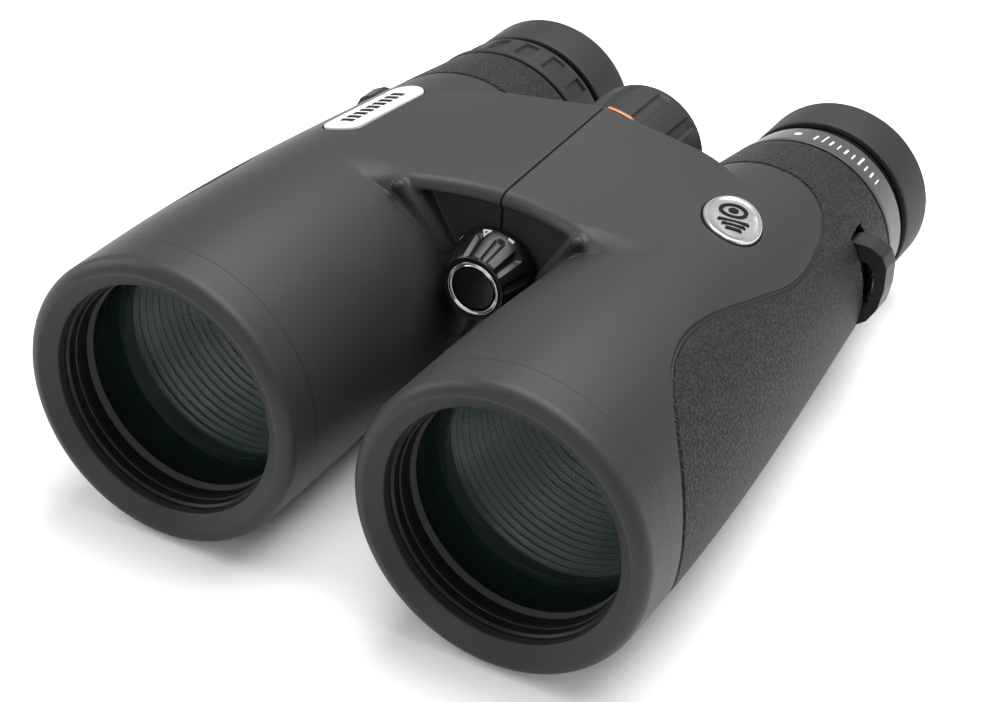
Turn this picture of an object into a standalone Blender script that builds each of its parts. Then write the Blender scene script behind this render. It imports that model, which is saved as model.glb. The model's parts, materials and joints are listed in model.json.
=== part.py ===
"""Roof-prism field binoculars, 50 mm class, with a centre focus wheel and a tripod socket.

Every size is in millimetres. A place is (x, station, height): x is across, from the hinge line, with
the user's left barrel at +x; station is the distance behind the front edge of the objective rims;
height is above the barrel axes. seat() turns a place into metres in the world, where +Y points
from the objectives to the eyepieces, +Z is up and the origin is under the middle of the body.
"""

import math

import bmesh
import bpy

MM = 0.001
GAP = 0.3  # clearance between neighbouring pieces

# The whole body
BARREL_X = 38.0  # each barrel axis from the hinge line
HINGE_HEIGHT = 11.65  # hinge and focus axis above the barrel axes
FRONT_CREST = -1.0  # station of the front-most line of the rims
EYECUP_REAR = 166.0
MID_STATION = (FRONT_CREST + EYECUP_REAR) / 2
FOLD_HALF_ANGLE = 20.6  # degrees that each half keeps clear below the hinge

# Barrels: armour radius at stations along the barrel, front to rear
ARMOUR_OUTLINE = (
    (3.0, 31.3), (25.0, 31.2), (45.0, 30.5), (65.0, 29.2), (85.0, 27.5), (105.0, 25.6), (120.0, 24.2),
    (137.6, 22.35),
)  # fmt: skip
AXIS_HEIGHT = ARMOUR_OUTLINE[0][1]  # barrel axes above the lowest point of the body
RIM_CREST = (27.9, 28.9)  # inner and outer radius of the flat front crest of the rim
HOOD_RADIUS = 25.05  # opening of the rubber hood
ARMOUR_WALL = 1.8
TUBE_WALL = 1.8
TUBE_FRONT = 3.5
TUBE_REAR = 137.3

# Bridge and hinge
BRIDGE_STATIONS = (56.0, 113.0)
BRIDGE_CROWN = (28.8, 30.6)  # top of the bridge on the seam, front and rear
BRIDGE_LOW = -6.5
BRIDGE_FRONT_EDGE = ((0, 66.3), (11, 66.3), (12, 64.6), (16, 63.2), (20, 61.5), (24, 59.3), (28, 56.9))
BRIDGE_REAR_EDGE = ((0, 112.3), (22, 112.3), (28, 111.2), (33, 108.5), (38, 105.0), (40, 103.0))
ARM_STATIONS = (69.5, 100.0)
ARM_HEIGHTS = (2.6, 20.8)
KNUCKLE_RADIUS = 9.6
KNUCKLE_CLEAR = 10.2
LEFT_KNUCKLES = ((69.5, 75.0), (104.2, 108.7))
RIGHT_KNUCKLES = ((75.4, 80.9), (99.3, 103.8))
SOCKET_RADIUS = 5.0
SOCKET_BORE = 3.2
SLEEVE_RADIUS = 3.9
SLEEVE_BORE = 2.95
SCREW_RADIUS = 2.6

# Focusing parts
CARRIER_STATIONS = (86.5, 92.5)
CARRIER_RADIUS = 7.0
GROOVE_RADIUS = 5.0
GROOVE_STATIONS = (88.6, 90.4)
FOCUS_SLOT = (81.5, 98.9)  # where the focusing arms pass through the barrel walls
FOCUS_CELL_RADIUS = 15.5
FOCUS_LENS_RADIUS = 12.8
WHEEL_RADIUS = 14.6
WHEEL_CORE = 12.6
WHEEL_STATIONS = (113.8, 137.2)

# Objective end
CELL_RADIUS = 26.9
RETAINER_RADIUS = 24.2
OBJECTIVE_RADIUS = 25.2
CELL_STATIONS = (9.6, 24.3)
BAFFLE_STATIONS = (24.6, 83.5)
BAFFLE_RADII = (26.3, 18.3)
BAFFLE_RIDGES = 4

# Eyepiece end
PRISM_STATIONS = (99.2, 130.0)
EYEPIECE_RADIUS = 16.5
EYEPIECE_BORE = 15.0
OCULAR_RADIUS = 14.7
EYE_LENS_RADIUS = 11.6
GUIDE_RADIUS = 17.5
SLEEVE_OF_CUP = (17.8, 19.2)
CUP_RADIUS = 21.0
CUP_FRONT = 151.6

# Tripod socket cap, badges and strap lugs
CAP_STATIONS = (56.5, 65.8)
CAP_RADII = (7.3, 9.8)
# Badges: station, angle round the barrel from +x and turn in its own plane, in degrees
OVAL_BADGE = (88.6, 81.6, 24.0)
OVAL_SIZE = (12.7, 20.0)
PILL_BADGE = (90.0, 104.0, 0.0)
PILL_SIZE = (8.6, 33.0)
BADGE_THICK = 1.1
BADGE_RISE = 0.1  # top of a badge above the armour's highest line under it
LUG_STATIONS = (117.6, 124.4)
LUG_OUTLINE = (
    (50.0, 13.6), (63.0, 13.8), (66.6, 12.6), (68.3, 9.6), (68.6, 5.0), (68.0, 0.0), (66.0, -4.6),
    (63.0, -7.4), (50.0, -8.2),
)  # fmt: skip
LUG_SLOT = ((50.0, 8.6), (63.6, 8.6), (65.4, 6.6), (65.4, 1.0), (63.2, -3.0), (50.0, -3.0))

# Facets
ARMOUR_STEPS = 36
STEPS = 20
OVAL_STEPS = 20
PILL_END_STEPS = 8
LENS_RINGS = 2

RUBBER = ("rubber_armour", (0.045, 0.046, 0.05), 0.62, 0.0)
SOFT_RUBBER = ("soft_rubber", (0.03, 0.03, 0.034), 0.7, 0.0)
ALLOY = ("black_alloy", (0.03, 0.03, 0.032), 0.45, 0.8)
CHASSIS = ("chassis_polycarbonate", (0.02, 0.02, 0.021), 0.5, 0.0)
BLACK_PLASTIC = ("black_plastic", (0.012, 0.012, 0.013), 0.45, 0.0)
GLOSS_PLASTIC = ("gloss_plastic", (0.008, 0.008, 0.009), 0.15, 0.0)
STEEL = ("steel", (0.55, 0.55, 0.57), 0.3, 1.0)
CHROME = ("chrome", (0.8, 0.8, 0.82), 0.12, 1.0)
COPPER = ("copper_accent", (0.75, 0.3, 0.08), 0.35, 0.6)
COATED_GLASS = ("coated_glass", (0.3, 0.5, 0.42), 0.04, 0.0)
PRISM_GLASS = ("prism_glass", (0.75, 0.85, 0.85), 0.04, 0.0)


def start_clean():
    """Empty the scene and make the collections: (parts, cutters)."""
    for obj in list(bpy.data.objects):
        bpy.data.objects.remove(obj, do_unlink=True)
    made = []
    for name in ("binoculars", "cutters"):
        collection = bpy.data.collections.new(name)
        bpy.context.scene.collection.children.link(collection)
        made.append(collection)
    return made


PARTS, CUTTERS = start_clean()


def seat(x, station, height):
    """The world position, in metres, of a place on the body."""
    return (x * MM, (station - MID_STATION) * MM, (height + AXIS_HEIGHT) * MM)


def finish(spec):
    """The material with this name, colour, roughness and metallic value, made once."""
    name, colour, roughness, metallic = spec
    material = bpy.data.materials.get(name)
    if material is None:
        material = bpy.data.materials.new(name)
        material.use_nodes = True
        shader = material.node_tree.nodes["Principled BSDF"]
        shader.inputs["Base Color"].default_value = (*colour, 1.0)
        shader.inputs["Roughness"].default_value = roughness
        shader.inputs["Metallic"].default_value = metallic
    return material


def pivot(name, x, station, height):
    """An empty on a joint's axis, the parent of the pieces that move with it."""
    empty = bpy.data.objects.new(name, None)
    empty.empty_display_size = 10 * MM
    empty.location = seat(x, station, height)
    PARTS.objects.link(empty)
    return empty


def add(name, mesh, place, material=None, parent=None, rotation=(0, 0, 0)):
    """Put a mesh in the scene as a part or, with no material, as a hidden cutter."""
    obj = bpy.data.objects.new(name, mesh)
    obj.location = seat(*place)
    obj.rotation_euler = rotation
    if material is None:
        obj.hide_render = True
        obj.display_type = "WIRE"
        CUTTERS.objects.link(obj)
    else:
        mesh.materials.append(finish(material))
        PARTS.objects.link(obj)
    if parent is not None:
        obj.parent = parent
        obj.location = [at - base for at, base in zip(obj.location, parent.location)]
    return obj


def turned(name, outer, inner, axis, material=None, parent=None, steps=STEPS):
    """A piece turned about a line along the barrels at axis = (x, height).

    outer and inner are (station, radius) points from front to rear. With no inner points the
    piece is solid to its axis.
    """
    first = outer[0][0]
    profile = [(radius, station - first) for station, radius in reversed(outer)]
    if inner is not None:
        profile += [(radius, station - first) for station, radius in inner]
    elif outer[0][1] > 0:
        profile = [(0.0, outer[-1][0] - first), *profile, (0.0, 0.0)]
    mesh = bpy.data.meshes.new(name)
    points = [(radius * MM, 0, along * MM) for radius, along in profile]
    edges = [(i, i + 1) for i in range(len(points) - 1)]
    if inner is not None:
        edges.append((len(points) - 1, 0))
    mesh.from_pydata(points, edges, [])
    place = (axis[0], first, axis[1])
    obj = add(name, mesh, place, material, parent, (-math.pi / 2, 0, 0))
    screw = obj.modifiers.new("turn", "SCREW")
    screw.angle = math.tau
    screw.steps = steps
    screw.render_steps = steps
    screw.use_merge_vertices = True
    screw.merge_threshold = 0.01 * MM
    screw.use_smooth_shade = False
    return obj


def outline_mesh(name, points, depth):
    """A flat outline, in millimetres, given a thickness: a filled 2D curve made a mesh."""
    curve = bpy.data.curves.new(name, "CURVE")
    curve.dimensions = "2D"
    curve.fill_mode = "BOTH"
    curve.extrude = depth * MM / 2
    spline = curve.splines.new("POLY")
    spline.points.add(len(points) - 1)
    for point, (u, v) in zip(spline.points, points):
        point.co = (u * MM, v * MM, 0, 1)
    spline.use_cyclic_u = True
    guide = bpy.data.objects.new(name + "_outline", curve)
    CUTTERS.objects.link(guide)
    guide.hide_render = True
    bpy.context.view_layer.update()
    graph = bpy.context.evaluated_depsgraph_get()
    mesh = bpy.data.meshes.new_from_object(guide.evaluated_get(graph))
    bpy.data.objects.remove(guide)
    work = bmesh.new()
    work.from_mesh(mesh)
    bmesh.ops.remove_doubles(work, verts=work.verts, dist=0.001 * MM)
    bmesh.ops.recalc_face_normals(work, faces=work.faces)
    work.to_mesh(mesh)
    work.free()
    return mesh


def section(name, points, stations, material=None, parent=None):
    """An outline of (x, height) points that runs from one station to the other."""
    mesh = outline_mesh(name, points, stations[1] - stations[0])
    middle = (stations[0] + stations[1]) / 2
    return add(name, mesh, (0, middle, 0), material, parent, (math.pi / 2, 0, 0))


def plan(name, points, heights, material=None, parent=None):
    """An outline of (x, station) points that runs from one height to the other."""
    mesh = outline_mesh(name, points, heights[1] - heights[0])
    return add(name, mesh, (0, 0, sum(heights) / 2), material, parent)


def box(name, x, station, height, material=None, parent=None):
    """A block between pairs of x, station and height."""
    mesh = bpy.data.meshes.new(name)
    work = bmesh.new()
    bmesh.ops.create_cube(work, size=1.0)
    sizes = [abs(high - low) * MM for low, high in (x, station, height)]
    bmesh.ops.scale(work, vec=sizes, verts=work.verts)
    work.to_mesh(mesh)
    work.free()
    return add(name, mesh, (sum(x) / 2, sum(station) / 2, sum(height) / 2), material, parent)


def combine(obj, operation, *others):
    """Join the other shapes to obj, or cut them from it."""
    for other in others:
        modifier = obj.modifiers.new(operation.lower() + "_" + other.name, "BOOLEAN")
        modifier.operation = operation
        modifier.object = other


def cut(obj, *others):
    combine(obj, "DIFFERENCE", *others)


def join(obj, *others):
    combine(obj, "UNION", *others)


def barrel_profile(offset, start, end):
    """(station, radius) points of the barrel, offset inwards from the armour's surface."""
    points = [point for point in ARMOUR_OUTLINE if start < point[0] < end]
    points = [(start, radius_at(start)), *points, (end, radius_at(end))]
    return [(station, radius - offset) for station, radius in points]


def radius_at(station):
    """The armour's radius at a station, between and beyond its outline points."""
    before, after = ARMOUR_OUTLINE[0], ARMOUR_OUTLINE[1]
    for before, after in zip(ARMOUR_OUTLINE, ARMOUR_OUTLINE[1:]):
        if station <= after[0]:
            break
    share = max(0.0, (station - before[0]) / (after[0] - before[0]))
    return before[1] + share * (after[1] - before[1])


def hinge_cylinder(name, stations, radius):
    """A cutter round the hinge line."""
    return turned(name, [(station, radius) for station in stations], None, (0, HINGE_HEIGHT))


def bridge_block(name, side):
    """The half of the bridge that belongs to one barrel, lofted from its front section to its rear one."""
    tangent = math.tan(math.radians(FOLD_HALF_ANGLE))
    reach = BARREL_X - 1.0
    rings = []
    for station, crown in zip(BRIDGE_STATIONS, BRIDGE_CROWN):
        rings.append([
            (GAP / 2, station, crown),
            (reach, station, crown + (radius_at(station) - crown) * reach / BARREL_X),
            (reach, station, BRIDGE_LOW),
            ((HINGE_HEIGHT - BRIDGE_LOW) * tangent + GAP / 2, station, BRIDGE_LOW),
            (GAP / 2, station, HINGE_HEIGHT),
        ])  # fmt: skip
    mesh = bpy.data.meshes.new(name)
    work = bmesh.new()
    front, rear = [
        [work.verts.new([side * x * MM, station * MM, z * MM]) for x, station, z in ring] for ring in rings
    ]
    work.faces.new(front)
    work.faces.new(reversed(rear))
    count = len(front)
    for i in range(count):
        after = (i + 1) % count
        work.faces.new((front[i], rear[i], rear[after], front[after]))
    bmesh.ops.recalc_face_normals(work, faces=work.faces)
    work.to_mesh(mesh)
    work.free()
    block = add(name, mesh, (0, 0, 0))
    for label, edge, beyond in (("front", BRIDGE_FRONT_EDGE, 50), ("rear", BRIDGE_REAR_EDGE, 120)):
        outline = [(-4, beyond), (-4, edge[0][1]), *edge, (45, edge[-1][1]), (45, beyond)]
        outline = [(side * x, station) for x, station in outline]
        cut(block, plan(f"{name}_{label}_cut", outline, (-30, 50)))
    return block


def hinge_arm(name, side, grow):
    """The arm that ties a barrel tube to its hinge knuckles, grown by a clearance."""
    x = sorted((side * (6.0 - grow), side * 34.0))
    stations = (ARM_STATIONS[0] - grow, ARM_STATIONS[1] + grow)
    return box(name, x, stations, (ARM_HEIGHTS[0] - grow, ARM_HEIGHTS[1] + grow))


def rear_arm(name, side, grow):
    """The short step of the arm behind the first one, to the rear knuckles."""
    x = sorted((side * (7.0 - grow), side * (13.0 + grow)))
    stations = (ARM_STATIONS[1] - 1.6, LEFT_KNUCKLES[1][1] - 0.4 + grow)
    return box(name, x, stations, (ARM_HEIGHTS[0] + 1.0 - grow, ARM_HEIGHTS[1] - 1.0 + grow))


def lug_points(outline, side, grow=0.0):
    """Lug outline points on one side, moved away from the outline's middle by a clearance."""
    middle = sum(height for _, height in outline) / len(outline)
    return [(side * (x + grow), z + math.copysign(grow, z - middle)) for x, z in outline]


def badge_outline(kind, grow):
    """The outline of a badge, across and along the barrel, turned in its own plane."""
    if kind == "oval":
        turns = [math.tau * i / OVAL_STEPS for i in range(OVAL_STEPS)]
        across, along = (size / 2 + grow for size in OVAL_SIZE)
        points = [(across * math.cos(t), along * math.sin(t)) for t in turns]
        tilt = math.radians(OVAL_BADGE[2])
    else:
        turns = [math.pi * i / PILL_END_STEPS for i in range(PILL_END_STEPS + 1)]
        radius = PILL_SIZE[0] / 2 + grow
        straight = (PILL_SIZE[1] - PILL_SIZE[0]) / 2
        points = [(radius * math.cos(t), straight + radius * math.sin(t)) for t in turns]
        points += [(-u, -v) for u, v in points]
        tilt = math.radians(PILL_BADGE[2])
    cos, sin = math.cos(tilt), math.sin(tilt)
    return [(u * cos - v * sin, u * sin + v * cos) for u, v in points]


def badge_plate(name, side, kind, grow, material=None, parent=None):
    """A flat badge plate let into the top of a barrel, or its pocket cutter when grown."""
    station, angle, _ = OVAL_BADGE if kind == "oval" else PILL_BADGE
    lean = math.atan((radius_at(station + 5) - radius_at(station - 5)) / 10)
    turn = math.radians(angle)
    middle = radius_at(station) + BADGE_RISE - BADGE_THICK / 2
    mesh = outline_mesh(name, badge_outline(kind, grow), BADGE_THICK + 2 * grow)
    place = (side * BARREL_X + middle * math.cos(turn), station, middle * math.sin(turn))
    obj = add(name, mesh, place, material, parent)
    obj.rotation_mode = "YXZ"
    obj.rotation_euler = (lean, math.pi / 2 - turn, 0)
    return obj


def armour(name, side, parent):
    """Rubber armour of one barrel: its sleeve, the rim round the objective and its half of the bridge."""
    axis = (side * BARREL_X, 0)
    crest = RIM_CREST[1]
    outer = [(FRONT_CREST, crest), (-0.6, crest + 1.0), (0.5, crest + 2.0), *ARMOUR_OUTLINE]
    body = turned(name, outer, None, axis, RUBBER, parent, ARMOUR_STEPS)
    join(body, bridge_block(name + "_bridge", side))
    slope = (RIM_CREST[0] - HOOD_RADIUS - 0.25) / (1.3 - FRONT_CREST)
    hood_end = TUBE_FRONT - GAP
    bore = [(-2.0, RIM_CREST[0] + slope), (1.3, HOOD_RADIUS + 0.25), (2.0, HOOD_RADIUS), (hood_end, HOOD_RADIUS)]
    bore += barrel_profile(ARMOUR_WALL, hood_end, 142.0)
    cut(body, turned(name + "_bore", bore, None, axis, steps=ARMOUR_STEPS))
    cut(body, hinge_arm(name + "_arm_room", side, GAP), rear_arm(name + "_rear_arm_room", side, GAP))
    cut(body, hinge_cylinder(name + "_knuckle_room", (ARM_STATIONS[0] - GAP, 120.0), KNUCKLE_CLEAR))
    cut(body, hinge_cylinder(name + "_socket_room", (50.0, 80.0), SOCKET_RADIUS + GAP))
    lug = lug_points(LUG_OUTLINE, side, GAP)
    cut(body, section(name + "_lug_room", lug, (LUG_STATIONS[0] - GAP, LUG_STATIONS[1] + GAP)))
    cut(body, badge_plate(name + "_badge_pocket", side, "oval" if side > 0 else "pill", GAP))
    return body


def barrel_tube(name, side, parent):
    """Chassis tube of one barrel with its hinge arm and knuckles."""
    axis = (side * BARREL_X, 0)
    own = LEFT_KNUCKLES if side > 0 else RIGHT_KNUCKLES
    shell = ARMOUR_WALL + GAP
    tube = turned(name, barrel_profile(shell, TUBE_FRONT, TUBE_REAR), None, axis, CHASSIS, parent)
    join(tube, hinge_arm(name + "_arm", side, 0), rear_arm(name + "_rear_arm", side, 0))
    gaps = [(own[0][1] + 0.2, own[1][0] - 0.2), (own[1][1] + (0.0 if side > 0 else 0.2), 112.0)]
    if side < 0:
        gaps.append((ARM_STATIONS[0] - 1.0, own[0][0] - 0.2))
    for number, stations in enumerate(gaps):
        cut(tube, hinge_cylinder(f"{name}_clearance_{number}", stations, KNUCKLE_CLEAR))
    for number, (stations, pin) in enumerate(zip(own, (SOCKET_RADIUS, SLEEVE_RADIUS))):
        barrel = [(station, KNUCKLE_RADIUS) for station in stations]
        bore = [(station, pin + GAP) for station in stations]
        join(tube, turned(f"{name}_knuckle_{number}", barrel, bore, (0, HINGE_HEIGHT)))
    inner = shell + TUBE_WALL
    bore = [(2.0, CELL_RADIUS + GAP), (25.0, CELL_RADIUS + GAP), *barrel_profile(inner, 25.5, 141.0)]
    cut(tube, turned(name + "_bore", bore, None, axis))
    slot_top = 9.8 if side > 0 else 18.6
    x = sorted((side * 4.0, side * 26.0))
    cut(tube, box(name + "_focus_slot", x, FOCUS_SLOT, (3.6, slot_top)))
    return tube


def objective(label, side, parent):
    """Cell, two lens elements, retaining ring and baffle tube of one objective."""
    axis = (side * BARREL_X, 0)
    front, rear = CELL_STATIONS
    pocket = OBJECTIVE_RADIUS + GAP
    cell = [(front, pocket), (22.0, pocket), (22.0, 23.8), (rear, 23.8)]
    turned(label + "_objective_cell", [(front, CELL_RADIUS), (rear, CELL_RADIUS)], cell, axis, ALLOY, parent)
    ring = [(3.8, HOOD_RADIUS - 0.1), (6.0, HOOD_RADIUS - 0.1), (6.3, RETAINER_RADIUS), (9.3, RETAINER_RADIUS)]
    retainer = [(3.8, CELL_RADIUS), (9.3, CELL_RADIUS)]
    turned(label + "_objective_retainer", retainer, ring, axis, BLACK_PLASTIC, parent)
    lens(label + "_objective_front_lens", axis, OBJECTIVE_RADIUS, (9.2, 11.4), (18.2, 16.2), COATED_GLASS, parent)
    lens(label + "_objective_rear_lens", axis, OBJECTIVE_RADIUS, (18.6, 16.6), (20.9, 21.6), COATED_GLASS, parent)
    start, end = BAFFLE_STATIONS
    wide, narrow = BAFFLE_RADII
    inner = []
    for i in range(BAFFLE_RIDGES):
        station = start + (end - start) * i / BAFFLE_RIDGES
        radius = wide + (narrow - wide) * (i + 1) / BAFFLE_RIDGES - 1.2
        inner += [(station, radius), (station + 1.0, radius - 0.8), (station + 1.4, radius)]
    inner[0] = (start, inner[0][1])
    inner.append((end, narrow - 1.2))
    turned(label + "_baffle_tube", [(start, wide), (end, narrow)], inner, axis, BLACK_PLASTIC, parent)


def lens(name, axis, radius, front, rear, material, parent):
    """A lens: front and rear give the station of each surface at its centre and at its edge."""
    faces = []
    for centre, edge in (front, rear):
        shares = [i / LENS_RINGS for i in range(LENS_RINGS + 1)]
        faces.append([(centre + (edge - centre) * share**2, radius * share) for share in shares])
    return turned(name, faces[0] + faces[1][::-1], None, axis, material, parent)


def prisms(label, side, parent):
    """Cage and the two prisms of the erecting system of one barrel."""
    axis = (side * BARREL_X, 0)
    front, rear = PRISM_STATIONS
    cage = turned(label + "_prism_cage", [(front, 18.4), (rear, 18.4)], [(front, 17.2), (rear, 17.2)], axis,
                  BLACK_PLASTIC, parent)  # fmt: skip
    for end in (front, rear - 1.4):
        plate = [(end, 17.6), (end + 1.4, 17.6)]
        window = [(end, 9.5), (end + 1.4, 9.5)]
        join(cage, turned(f"{label}_cage_window_{end:.0f}", plate, window, axis))
    width = 20.0
    first = [(101.2, 10.5), (101.2, -12.0), (103.6, -12.0), (118.0, 10.5)]
    second = [(104.6, -12.0), (125.6, -12.0), (128.0, -9.0), (128.0, 6.5), (124.0, 10.5), (119.0, 10.5)]
    for name, points in (("_half_penta_prism", first), ("_roof_prism", second)):
        mesh = outline_mesh(label + name, points, width)
        prism = add(label + name, mesh, (side * BARREL_X, 0, 0), PRISM_GLASS, parent)
        prism.rotation_euler = (math.pi / 2, 0, math.pi / 2)


def eyepiece(label, side, fixed, ring_parent, ocular_parent, guide_parent, cup_parent):
    """Eyepiece of one barrel: tube, ring, ocular cell with two lenses, cup guide and eyecup."""
    axis = (side * BARREL_X, 0)
    flange = [(131.0, 18.0), (137.0, 18.0), (137.0, EYEPIECE_RADIUS), (161.0, EYEPIECE_RADIUS)]
    turned(label + "_eyepiece_tube", flange, [(131.0, EYEPIECE_BORE), (161.0, EYEPIECE_BORE)], axis, ALLOY, fixed)
    bore = EYEPIECE_RADIUS + GAP
    if side > 0:
        ring = [(138.0, 22.3), (139.0, 22.3), (147.8, 20.9)]
        turned("left_index_ring", ring, [(138.0, bore), (147.8, bore)], axis, ALLOY, ring_parent)
        collar = 148.1
    else:
        ring = [(137.9, 22.5), (139.4, 22.6), (139.6, 22.0), (148.0, 21.4), (149.0, 21.4)]
        turned("dioptre_ring", ring, [(137.9, bore), (149.0, bore)], axis, BLACK_PLASTIC, ring_parent)
        collar = 149.3
    cell = [(134.0, 12.9), (157.2, 12.9), (157.2, 11.0), (158.6, 11.0)]
    turned(label + "_ocular_cell", [(134.0, OCULAR_RADIUS), (158.6, OCULAR_RADIUS)], cell, axis, ALLOY,
           ocular_parent)  # fmt: skip
    lens(label + "_field_lens", axis, 12.6, (136.4, 138.2), (141.0, 140.2), COATED_GLASS, ocular_parent)
    lens(label + "_eye_lens", axis, EYE_LENS_RADIUS + 1.0, (149.6, 151.4), (156.9, 155.6), COATED_GLASS, ocular_parent)
    guide = [(collar, 19.6), (CUP_FRONT - GAP, 19.6), (CUP_FRONT - GAP, GUIDE_RADIUS), (160.6, GUIDE_RADIUS)]
    turned(label + "_cup_guide", guide, [(collar, bore), (160.6, bore)], axis, BLACK_PLASTIC, guide_parent)
    inner, outer = SLEEVE_OF_CUP
    sleeve = [(CUP_FRONT, outer), (164.0, outer)]
    turned(label + "_eyecup_sleeve", sleeve, [(CUP_FRONT, inner), (164.0, inner)], axis, ALLOY, cup_parent)
    rim = outer + GAP
    cup = [(CUP_FRONT, CUP_RADIUS - 0.5), (152.2, CUP_RADIUS), (164.2, CUP_RADIUS), (165.5, CUP_RADIUS - 0.5),
           (EYECUP_REAR, CUP_RADIUS - 1.6)]  # fmt: skip
    hollow = [(CUP_FRONT, rim), (164.3, rim), (164.3, 17.0), (165.0, 16.6), (EYECUP_REAR, 17.2)]
    turned(label + "_eyecup", cup, hollow, axis, SOFT_RUBBER, cup_parent, steps=24)


def strap_lug(name, side, parent):
    """The loop on the outer side of a barrel that a neck strap passes through."""
    lug = section(name, lug_points(LUG_OUTLINE, side), LUG_STATIONS, CHASSIS, parent)
    slot = lug_points(LUG_SLOT, side)
    cut(lug, section(name + "_slot", slot, (LUG_STATIONS[0] - 3, LUG_STATIONS[1] + 3)))
    seatings = [(station, radius + GAP) for station, radius in barrel_profile(ARMOUR_WALL + GAP, 100.0, 137.0)]
    cut(lug, turned(name + "_seating", seatings, None, (side * BARREL_X, 0)))
    return lug


def hinge_pins(parent):
    """Front pin with the tripod thread, and the hollow rear pin that the focus screw runs through."""
    axis = (0, HINGE_HEIGHT)
    socket = [(66.2, SOCKET_RADIUS), (80.7, SOCKET_RADIUS)]
    turned("tripod_socket", socket, [(66.2, SOCKET_BORE), (80.7, SOCKET_BORE)], axis, STEEL, parent)
    sleeve = [(99.3, SLEEVE_RADIUS), (117.6, SLEEVE_RADIUS)]
    turned("hinge_sleeve", sleeve, [(99.3, SLEEVE_BORE), (117.6, SLEEVE_BORE)], axis, STEEL, parent)
    ring = [(112.6, 14.3), (113.5, 14.3)]
    turned("accent_ring", ring, [(112.6, 4.3), (113.5, 4.3)], axis, COPPER, parent)


def tripod_cap(cap_parent, washer_parent):
    """Screw-in cap over the tripod thread: body with its stud, bright ring, face disc and washer."""
    axis = (0, HINGE_HEIGHT)
    front, rear = CAP_STATIONS
    stud = SOCKET_BORE - 0.35
    face = front + 1.2
    solid = [(face, 6.2), (front, 6.2), (front, CAP_RADII[0] - 0.4), (front + 0.5, CAP_RADII[0]),
             (rear, CAP_RADII[1]), (rear, 5.2), (64.4, 5.2), (64.4, stud), (77.0, stud)]  # fmt: skip
    cap = turned("tripod_cap", solid, None, axis, GLOSS_PLASTIC, cap_parent)
    flutes = 12
    for i in range(flutes):
        angle = math.tau * (i + 0.5) / flutes
        reach = CAP_RADII[1] + 2.0
        spot = (reach * math.cos(angle), HINGE_HEIGHT + reach * math.sin(angle))
        groove = [(front - 1, 2.3), (rear - 1.4, 2.3)]
        cut(cap, turned(f"tripod_cap_flute_{i}", groove, None, spot, steps=6))
    turned("tripod_cap_ring", [(front, 5.9), (57.4, 5.9)], [(front, 5.0), (57.4, 5.0)], axis, CHROME, cap_parent)
    lens("tripod_cap_disc", axis, 4.7, (front + 0.1, front + 0.5), (57.4, 57.4), GLOSS_PLASTIC, cap_parent)
    washer = [(64.7, 4.8), (65.6, 4.8)]
    turned("tripod_cap_washer", washer, [(64.7, 3.3), (65.6, 3.3)], axis, SOFT_RUBBER, washer_parent)


def focus_wheel(parent):
    """Focus wheel: rubber grip on a core, and the screw that the carrier runs on."""
    axis = (0, HINGE_HEIGHT)
    front, rear = WHEEL_STATIONS
    bore = SLEEVE_RADIUS + GAP
    core = [(front + 0.2, WHEEL_CORE), (rear - 1.0, WHEEL_CORE)]
    inner = [(front + 0.2, bore), (118.4, bore), (118.4, 5.6), (132.0, 5.6), (132.0, 4.0), (rear - 1.0, 4.0)]
    turned("focus_wheel_core", core, inner, axis, ALLOY, parent)
    grip_bore = WHEEL_CORE + GAP
    outer = [(front, WHEEL_RADIUS - 0.8), (front + 1.2, WHEEL_RADIUS - 0.2), (front + 6.0, WHEEL_RADIUS)]
    outer += [(rear - 6.0, WHEEL_RADIUS), (rear - 1.2, WHEEL_RADIUS - 0.2), (rear, WHEEL_RADIUS - 1.2)]
    inner = [(front, grip_bore), (rear - 0.7, grip_bore), (rear - 0.7, 8.0), (rear, 8.0)]
    turned("focus_wheel_grip", outer, inner, axis, SOFT_RUBBER, parent, steps=24)
    screw = [(83.2, SCREW_RADIUS), (118.7, SCREW_RADIUS), (118.7, 5.3), (131.0, 5.3)]
    turned("focus_screw", screw, None, axis, STEEL, parent)
    turned("focus_wheel_cap", [(rear - 0.4, 7.7), (rear + 0.2, 7.0)], None, axis, BLACK_PLASTIC, parent)


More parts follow.
